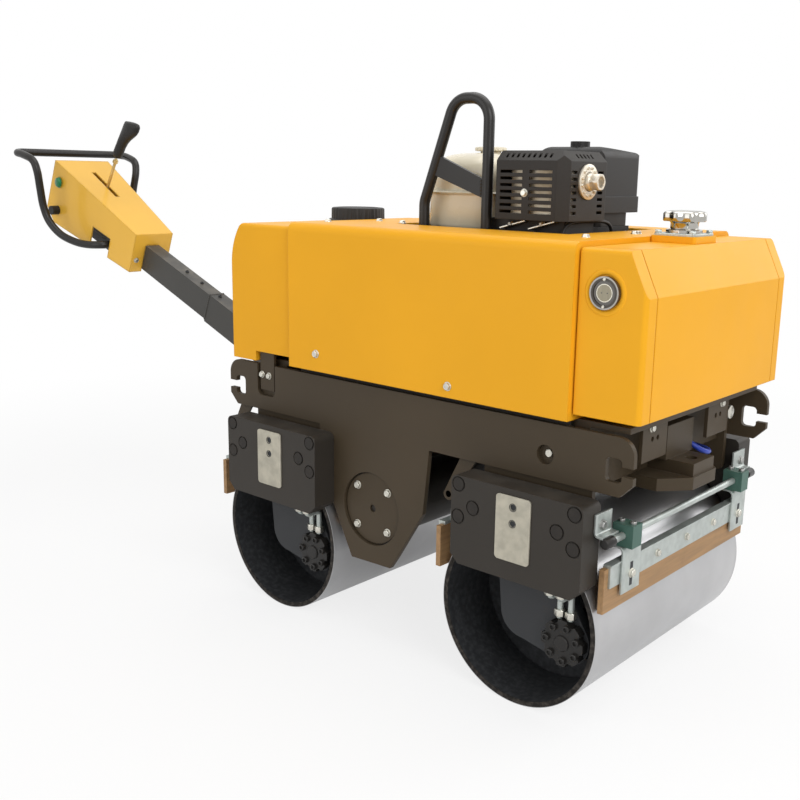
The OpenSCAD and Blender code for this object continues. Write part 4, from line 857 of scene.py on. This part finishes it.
class ROLLER_OT_rod_brackets(bpy.types.Operator):
    """Bent plates that hold the front scraper rod, its sleeved ends, and the slanted plates that hang the other rods"""

    bl_idname = "roller.rod_brackets"
    bl_label = "Rod brackets"

    def execute(self, context):
        bent = [bent_strip([at(x, y, z) for x, z in BRACKET_BEND], BRACKET_WIDTH, SHEET) for y in (-307, 307)]
        piece("rod_brackets", bent, "zinc", replaces="scraper_brackets")
        arc = np.radians(np.linspace(180, 360, 17))
        edge_x = np.concatenate([[93, 45], 14 * np.cos(arc)]) / 1000
        edge_z = np.concatenate([[117, 117], 14 * np.sin(arc)]) / 1000
        edge = np.stack([edge_x, np.zeros(len(arc) + 2), edge_z], -1)
        hangers = [
            closed(np.stack([at(x, s * y, ROD_LEVEL) + edge for y in (296, 301)])) for x in HUNG_RODS for s in (-1, 1)
        ]
        piece("rod_hangers", hangers, "chassis")
        ends = [
            turned(mm(0, 11, 11, 9, 0), mm(0, 0, 28, 31, 31), at(FRONT_ROD, s * 306, ROD_LEVEL), (0, s, 0))
            for s in (-1, 1)
        ]
        piece("rod_ends", ends, "black")
        return {"FINISHED"}


class ROLLER_OT_motor_fittings(bpy.types.Operator):
    """Rings of bolts on the drive motor caps, and the nuts of their pipes"""

    bl_idname = "roller.motor_fittings"
    bl_label = "Motor fittings"

    def execute(self, context):
        sizes = context.scene.roller_sizes
        low, high = edges("drive_motors")
        cap, bolt_ring = 0.050, 0.037
        grids = []
        for x in (low[0] + cap, high[0] - cap):
            spot = np.array([x, low[1], low[2] + cap])
            grids += [round_bolt(p, RIGHT, sizes.motor_bolt) for p in spot + ring_of(7, bolt_ring, 20)]
            grids.append(turned(mm(6, 17, 17, 15, 0), mm(-1, -1, 2, 4, 4.5), spot, RIGHT))
        piece("motor_bolts", grids, "black")
        low, high = edges("motor_hoses")
        pipe, apart = 0.0066, 0.026
        nuts = []
        for x in (low[0] + pipe, low[0] + pipe + apart, high[0] - pipe - apart, high[0] - pipe):
            nuts.append(hex_nut((x, high[1] - pipe, low[2] + 0.004), sizes.pipe_nut, 0.015))
            nuts.append(hex_nut((x, low[1] + pipe, high[2] - 0.013), sizes.pipe_nut, 0.013))
        piece("pipe_nuts", nuts, "bolt")
        return {"FINISHED"}


class ROLLER_OT_caps(bpy.types.Operator):
    """Water filler knob with its plate and bolts, ribbed oil cap and the beads and screws of the lamps"""

    bl_idname = "roller.caps"
    bl_label = "Caps"

    def execute(self, context):
        small = context.scene.roller_sizes.small_bolt
        foot = on_axis("filler_flange", 1)
        plate = turned(mm(20, 46, 46, 45, 20), mm(0, 0, 4, 5, 5), foot, UP, 64, square(64), [0, 1, 1, 1, 0])
        bolts = [hex_bolt(foot + mm(a, b, 5), UP, small, 0.4, washer=False) for a in (-38, 38) for b in (-38, 38)]
        piece("filler_plate", [plate] + bolts, "zinc")
        radius = mm(37, 37, 35, 30, 28.5, 28.5, 31, 41, 42.5, 42.5, 40, 30, 12, 0)
        height = mm(4, 11, 12.5, 13, 14, 25, 28, 28.5, 30.5, 44, 47.5, 50, 51, 51.3)
        share = [0, 0, 0, 0, 0, 0, 0, 1, 1, 1, 1, 0.6, 0, 0]
        knob = turned(radius, height, foot, UP, 128, ribs(128, 8, 0.075), share)
        piece("filler_knob", [knob], "chrome", sharp=50.0, replaces="filler_cap")

        low, high = edges("oil_cap")
        rim, tall = (high[0] - low[0]) / 2, high[2] - low[2]
        radius = rim * np.array([0.80, 0.995, 0.995, 0.96, 0.885, 0.88, 0.875, 0.86, 0.82, 0.70, 0.68, 0.30, 0.0])
        height = tall * np.array([0.0, 0.0, 0.14, 0.20, 0.21, 0.24, 0.88, 0.95, 0.98, 0.995, 0.95, 0.95, 0.95])
        share = [0, 0, 0, 0, 0, 1, 1, 0.6, 0, 0, 0, 0, 0]
        cap = turned(radius, height, on_axis("oil_cap", 0), UP, 216, ribs(216, 36, 0.010), share)
        piece("ribbed_oil_cap", [cap], "plastic", replaces="oil_cap")

        lamp = middle("lamp_rings")
        wall, ring = edges("water_tank")[1][1], edges("lamp_rings")[1][1] - 0.0005
        beads, screws = [], []
        for s in (1, -1):
            out = (0, s, 0)
            spot = (lamp[0], s * wall, lamp[2])
            beads.append(turned(mm(34, 36, 40, 43, 45), mm(-1, 1.6, 2.0, 1.4, -1), spot, out, 64))
            screws += [round_bolt((lamp[0], s * ring, lamp[2] + up), out, 0.0036) for up in (-0.0252, 0.0252)]
        piece("lamp_beads", beads, "bodywork", sharp=60.0)
        piece("lamp_screws", screws, "bolt")
        return {"FINISHED"}


class ROLLER_OT_fuel_tank(bpy.types.Operator):
    """Fuel tank: rounded oblongs carried up from the tray over the rolled seam into a dome, and its low ribbed cap"""

    bl_idname = "roller.fuel_tank"
    bl_label = "Fuel tank"

    def execute(self, context):
        low, high = edges("fuel_tank")
        seam, lip, crown = 0.085, 0.010, high[2] - low[2] + 0.013
        shoulder, power = seam + 0.010, 3.4
        rise = np.sin(np.linspace(0.04, 0.5, 26) * math.pi)
        tray = mm(0, 4, 12)
        rolled = seam + mm(-10, -4, -3, 0, 3, 4, 8)
        level = np.concatenate([tray, rolled, shoulder + (crown - shoulder) * rise])
        inset = np.concatenate([mm(20, 12, 8), lip * np.array([1.0, 1.0, 0.2, 0.0, 0.2, 1.0, 1.0])])
        half = (high - low)[:2] / 2
        dome = (half - lip) * ((1 - rise**power) ** (1 / power))[:, None]
        size = np.concatenate([half - inset[:, None], np.maximum(dome, 0.001)])[:, ::-1]
        path = on_axis("fuel_tank", 0) + level[:, None] * np.array(UP)
        piece("domed_fuel_tank", [closed(carried(oblong(96, 5), path, size))], "tank", sharp=60.0, replaces="fuel_tank")

        low, high = edges("fuel_cap")
        rim = (high[0] - low[0]) / 2
        radius = rim * np.array([0.60, 0.64, 0.66, 0.90, 0.98, 0.99, 0.96, 0.86, 0.70, 0.56, 0.50, 0.30, 0.0])
        height = mm(-22, -20, -11, -10.5, -9.5, -4, -2, -0.8, -0.2, 0, -1.2, -1.8, -2)
        share = [0, 0, 0, 0.5, 1, 1, 1, 0, 0, 0, 0, 0, 0]
        cap = turned(radius, height, on_axis("fuel_cap", 1), UP, 144, ribs(144, 24, 0.018), share)
        piece("ribbed_fuel_cap", [cap], "tank", replaces="fuel_cap")
        return {"FINISHED"}


CABLE_ROUTE = (
    (304, -120, 955), (306, -114, 984), (310, -92, 998), (311, -30, 1001), (310, 40, 998), (308, 72, 984),
    (306, 80, 955),
)
TUBE_ROUTE = (
    (490, 66, 548), (522, 64, 540), (558, 74, 519), (566, 104, 507), (552, 134, 503), (522, 150, 503),
    (492, 154, 504),
)


class ROLLER_OT_engine_fittings(bpy.types.Operator):
    """Feet, spout, cable and welds beside the engine, and the soft water tube above the hitch"""

    bl_idname = "roller.engine_fittings"
    bl_label = "Engine fittings"

    def execute(self, context):
        sizes = context.scene.roller_sizes
        leaning = (-0.27, 0, 0.96)
        feet = [
            flat_bar(at(140, -110, 981), at(204, -106, 999), 0.020, 0.004),
            flat_bar(at(218, -110, 982), at(282, -106, 1000), 0.024, 0.004),
            hex_bolt(at(167, -112, 989), leaning, sizes.small_bolt, 0.3),
            hex_bolt(at(250, -112, 992), leaning, sizes.small_bolt, 0.3),
        ]
        piece("engine_feet", feet, "bolt")
        piece("choke_cable", [tube_through([at(*p) for p in CABLE_ROUTE], sizes.cable)], "plastic")
        piece("water_tube", [tube_through([at(*p) for p in TUBE_ROUTE], sizes.tube)], "tube")

        low, high = edges("exhaust_outlet")
        foot = np.array([low[0], *middle("exhaust_outlet")[1:]])
        rim = (high[1] - low[1]) / 2
        flange = turned(rim * np.array([0.3, 1.0, 1.0, 0.96, 0.55]), mm(0, 0, 4, 5, 5), foot, AHEAD, 48)
        radius = mm(19, 19, 17.5, 15.5, 16.5, 17, 16, 12, 11, 0)
        height = mm(4, 9, 12, 14, 16, 30, 33.5, 33.5, 20, 20)
        spout = turned(radius, height, foot, AHEAD, 48, hexagon(48), [0, 0, 0, 0, 0.7, 0.7, 0.4, 0, 0, 0])
        ring = ring_of(12, 0.79 * rim, 15)[:, [1, 0, 2]] + foot + mm(5, 0, 0)
        rivets = [round_bolt(p, AHEAD, 0.0042) for p in ring]
        piece("exhaust_spout", [flange, spout] + rivets, "spout", replaces="exhaust_outlet")

        low, high = edges("lift_hoop")
        base, hoop = edges("hood")[1][2], middle("lift_hoop")[1]
        rear, front = low[0] + 0.033, high[0] - 0.025
        lines = (
            ((rear, base + 0.118), (rear + 0.012, base + 0.158)),
            ((front, base + 0.068), (front, base + 0.106)),
        )
        seams = [
            weld_bead([(x, hoop + aside, z) for x, z in line], sizes.weld)
            for line in lines
            for aside in (0.004, -0.004)
        ]
        piece("hoop_welds", seams, "black", sharp=70.0)
        return {"FINISHED"}


TILT = math.radians(21.8)  # of the drawbar in the frame
ALONG_BAR = np.array([-math.cos(TILT), 0, math.sin(TILT)])
ABOVE_BAR = np.array([math.sin(TILT), 0, math.cos(TILT)])


def on_handle(s, y, n):
    """A place on the handle: length from the pivot along the drawbar, side, height square to the drawbar, in mm."""
    return PIVOT + (s * ALONG_BAR + n * ABOVE_BAR + np.array([0, y, 0])) / 1000


class ROLLER_OT_lever_grip(bpy.types.Operator):
    """Travel lever grip: point (l, a) lies on an oval of the width and depth at length l up the leaning lever.
    The ovals' rear edges stay in one line, so the grip flares ahead, and their fronts rise towards its flat top."""

    bl_idname = "roller.lever_grip"
    bl_label = "Lever grip"

    def execute(self, context):
        lean, start, length, rear_edge = math.radians(11), 0.198, 0.132, 0.0175
        up = -math.sin(lean) * ALONG_BAR + math.cos(lean) * ABOVE_BAR
        ahead = -math.cos(lean) * ALONG_BAR - math.sin(lean) * ABOVE_BAR
        t = np.linspace(0, 1, 64)
        knots = [0, 0.03, 0.12, 0.32, 0.46, 0.58, 0.68, 0.76, 0.83, 0.92, 0.97, 0.99, 1.0]
        width = np.interp(t, knots, mm(11, 14.5, 16, 15.5, 16, 16.5, 17.5, 18, 18.5, 18, 16, 13, 9))
        depth = np.interp(t, knots, mm(12, 16.5, 17.5, 18, 20, 24, 29.5, 34, 36, 35.5, 32, 28, 22))
        middle_line = (0.010 * t + np.maximum(depth, rear_edge) - rear_edge)[:, None]
        aside, out = np.moveaxis(circle(32) * np.stack([width, depth], -1)[:, None], -1, 0)
        out = out + middle_line
        rise = (start + length * t)[:, None] + 0.45 * out * t[:, None] ** 2
        grip = on_handle(1128, 0, 38) + rise[..., None] * up + out[..., None] * ahead + aside[..., None] * SIDEWAYS
        piece("hand_grip", [closed(grip)], "plastic", "handle", 60.0, "lever_grip")
        return {"FINISHED"}


# The right half of the handlebar from the control box to the middle of the grip, as places on the handle
BAR_ROUTE = (
    (958, 40, -22), (962, 90, -24), (1010, 113, -44), (1062, 128, -56), (1120, 144, -56), (1172, 158, -34),
    (1203, 169, 8), (1222, 179, 66), (1238, 188, 118), (1264, 194, 145), (1318, 199, 142), (1352, 198, 134),
    (1368, 180, 130.5), (1370, 150, 130), (1370, 70, 130),
)


class ROLLER_OT_handlebar(bpy.types.Operator):
    """Handlebar: a round tube carried along a smooth curve, out of the control box, back, up and across"""

    bl_idname = "roller.handlebar"
    bl_label = "Handlebar"

    def execute(self, context):
        route = [on_handle(s, -y, n) for s, y, n in BAR_ROUTE] + [on_handle(s, y, n) for s, y, n in BAR_ROUTE[::-1]]
        tube = tube_through(route, context.scene.roller_sizes.handle_tube, 240, 24, (0.31, 0.13, 0.94))
        piece("handlebar_tube", [tube], "black", "handle", 60.0, "handlebar")
        return {"FINISHED"}


class ROLLER_OT_handle_fittings(bpy.types.Operator):
    """Bolts of control box and drawbar, dark drawbar plugs, a dark block as painted shade in the box, the sleeve weld
    and the domed push button
    """

    bl_idname = "roller.handle_fittings"
    bl_label = "Handle fittings"

    def execute(self, context):
        sizes = context.scene.roller_sizes
        bolts = [hex_bolt(on_handle(817, y, -12), -ALONG_BAR, sizes.small_bolt, 0.2) for y in (-52, 52)]
        piece("handle_bolts", bolts, "bolt", "handle")
        plugs_and_box_shade = [round_bolt(on_handle(s, 0, n), ABOVE_BAR, 0.007) for s, n in ((445, 40), (540, 38), (620, 38))]
        # A dark block inside the hollow control box: painted shade filling its inside
        plugs_and_box_shade.append(flat_bar(on_handle(880, 0, -30), on_handle(1150, 0, -30), 0.050, 0.088))
        piece("drawbar_plugs", plugs_and_box_shade, "inside", "handle")
        loop = [on_handle(462, y, n) for y, n in ((-26, -44), (-26, 39), (26, 39), (26, -44), (-26, -44))]
        welds = [weld_bead([a, b], sizes.weld * 0.8) for a, b in zip(loop, loop[1:])]
        piece("sleeve_weld", welds, "drawbar", "handle", 70.0)
        spot = middle("start_button")
        spot[1] = edges("start_button")[1][1] - 0.002
        radius = mm(10, 18, 18, 16.5, 16, 15.5, 12, 7, 0)
        height = mm(1, 1, 4, 5, 5, 10, 12.4, 13.2, 13.5)
        dome = turned(radius, height, spot, (-0.13, -0.99, 0.05))
        piece("push_button", [dome], "button", "handle", replaces="start_button")
        return {"FINISHED"}


CAMERA_PLACE = (1494.938, -1936.017, 1096.393)
CAMERA_TURN = (40.418, 12.678, -1.088)  # yaw, pitch and roll in degrees
FOCAL, SHIFT, PICTURE = 1009.089, -30, 800  # in pixels
SENSOR = 36.0
FLOOR_HALF, FLOOR_LINES, FLOOR_LEVEL = 40, 9, -0.0006
WHITE = (1, 1, 1, 1)
# Each lamp: its size in metres and its place
LAMPS = {
    "key": (2.4, (3300, -1500, 2500)),
    "fill": (2.8, (-1200, -3400, 1700)),
    "top": (3.0, (-100, 300, 3600)),
    "rim": (2.0, (1700, 2900, 2300)),
}


class ROLLER_OT_stage(bpy.types.Operator):
    """Camera, floor, lights and sky"""

    bl_idname = "roller.stage"
    bl_label = "Stage"

    def execute(self, context):
        scene = context.scene
        scene.view_settings.view_transform = "Standard"
        self.camera(scene)
        self.floor(scene.roller_stage)
        self.lights(scene.roller_stage)
        self.sky(scene)
        return {"FINISHED"}

    def camera(self, scene):
        yaw, pitch, roll = map(math.radians, CAMERA_TURN)
        ahead = np.array([-math.sin(yaw) * math.cos(pitch), math.cos(yaw) * math.cos(pitch), -math.sin(pitch)])
        right = np.cross(ahead, UP)
        right /= np.linalg.norm(right)
        down = np.cross(ahead, right)
        across = math.cos(roll) * right + math.sin(roll) * down
        below = -math.sin(roll) * right + math.cos(roll) * down
        lens = bpy.data.cameras.new("photo_camera")
        lens.sensor_width = SENSOR
        lens.lens = FOCAL / PICTURE * SENSOR
        lens.shift_x = SHIFT / PICTURE
        lens.clip_end = 200
        scene.camera = placed("photo_camera", lens, np.stack([across, -below, -ahead], -1), at(*CAMERA_PLACE))

    def floor(self, stage):
        """A flat grid that is white to the camera and in mirrors, away from the machine, and matt to the light."""
        lines = np.linspace(-FLOOR_HALF, FLOOR_HALF, FLOOR_LINES)
        u, v = np.meshgrid(lines, lines, indexing="ij")
        points = np.stack([u, v, np.full(u.shape, FLOOR_LEVEL)], -1).reshape(-1, 3)
        mesh = bpy.data.meshes.new("floor")
        mesh.from_pydata(points.tolist(), [], quads(FLOOR_LINES, FLOOR_LINES, False).tolist())
        obj = placed("floor", mesh)
        f = Finish("floor_pale")
        seen, mirrored = f.rays()
        matt = f.node("ShaderNodeBsdfDiffuse", {}, {"Color": linear(stage.floor)})
        white = f.node("ShaderNodeEmission", {}, {"Color": WHITE, "Strength": 1.0})
        x, y, _ = f.axes()
        dx = x - float(DRUM_MID)
        far = ((dx * dx + y * y) ** 0.5).between(1.2, 3.6)
        share = seen.maths("MAXIMUM", seen * (0.78 + far * 0.22), mirrored * (0.30 + far * 0.70))
        f.show(f.node("ShaderNodeMixShader", {}, {0: share, 1: matt, 2: white}))
        mesh.materials.append(f.material)

    def lights(self, stage):
        """Square lamps that all face the middle of the machine."""
        for name, (size, place) in LAMPS.items():
            lamp = bpy.data.lights.new(name, "AREA")
            lamp.energy = getattr(stage, name)
            lamp.size = size
            placed(name, lamp, axes_along(at(*place) - at(0, 0, 600)).T, at(*place))

    def sky(self, scene):
        """Full white to the camera, in mirrors and through glass, and dimmer as a light."""
        scene.world = bpy.data.worlds.new("sky")
        scene.world.use_nodes = True
        sky = Nodes(scene.world.node_tree)
        seen, mirrored = sky.rays()
        white = seen.maths("MAXIMUM", seen, mirrored)
        strength = sky.node(
            "ShaderNodeMapRange", {}, {"Value": white, "To Min": scene.roller_stage.sky, "To Max": 1.0}
        )
        glow = sky.node("ShaderNodeBackground", {}, {"Color": WHITE, "Strength": strength})
        sky.node("ShaderNodeOutputWorld", {}, {"Surface": glow})


class ROLLER_PT_panel(bpy.types.Panel):
    """Sizes, colours and steps of the roller"""

    bl_idname = "ROLLER_PT_panel"
    bl_label = "Road roller"
    bl_space_type = "VIEW_3D"
    bl_region_type = "UI"
    bl_category = "Roller"

    def draw(self, context):
        for step in STEPS:
            self.layout.operator(step.bl_idname)
        for group in (context.scene.roller_colours, context.scene.roller_sizes, context.scene.roller_stage):
            box = self.layout.box()
            for name in group.__annotations__:
                box.prop(group, name)


STEPS = (
    ROLLER_OT_finishes,
    ROLLER_OT_body_bolts,
    ROLLER_OT_scrapers,
    ROLLER_OT_rod_brackets,
    ROLLER_OT_motor_fittings,
    ROLLER_OT_caps,
    ROLLER_OT_fuel_tank,
    ROLLER_OT_engine_fittings,
    ROLLER_OT_lever_grip,
    ROLLER_OT_handlebar,
    ROLLER_OT_handle_fittings,
    ROLLER_OT_stage,
)
GROUPS = (RollerColours, RollerSizes, RollerStage)


def register():
    for kind in GROUPS + STEPS + (ROLLER_PT_panel,):
        bpy.utils.register_class(kind)
    bpy.types.Scene.roller_colours = bpy.props.PointerProperty(type=RollerColours)
    bpy.types.Scene.roller_sizes = bpy.props.PointerProperty(type=RollerSizes)
    bpy.types.Scene.roller_stage = bpy.props.PointerProperty(type=RollerStage)


def unregister():
    del bpy.types.Scene.roller_stage
    del bpy.types.Scene.roller_sizes
    del bpy.types.Scene.roller_colours
    for kind in (ROLLER_PT_panel,) + STEPS[::-1] + GROUPS[::-1]:
        bpy.utils.unregister_class(kind)


def main():
    register()
    bpy.ops.roller.finishes()
    bpy.ops.roller.body_bolts()
    bpy.ops.roller.scrapers()
    bpy.ops.roller.rod_brackets()
    bpy.ops.roller.motor_fittings()
    bpy.ops.roller.caps()
    bpy.ops.roller.fuel_tank()
    bpy.ops.roller.engine_fittings()
    bpy.ops.roller.lever_grip()
    bpy.ops.roller.handlebar()
    bpy.ops.roller.handle_fittings()
    bpy.ops.roller.stage()


if __name__ == "__main__":
    main()
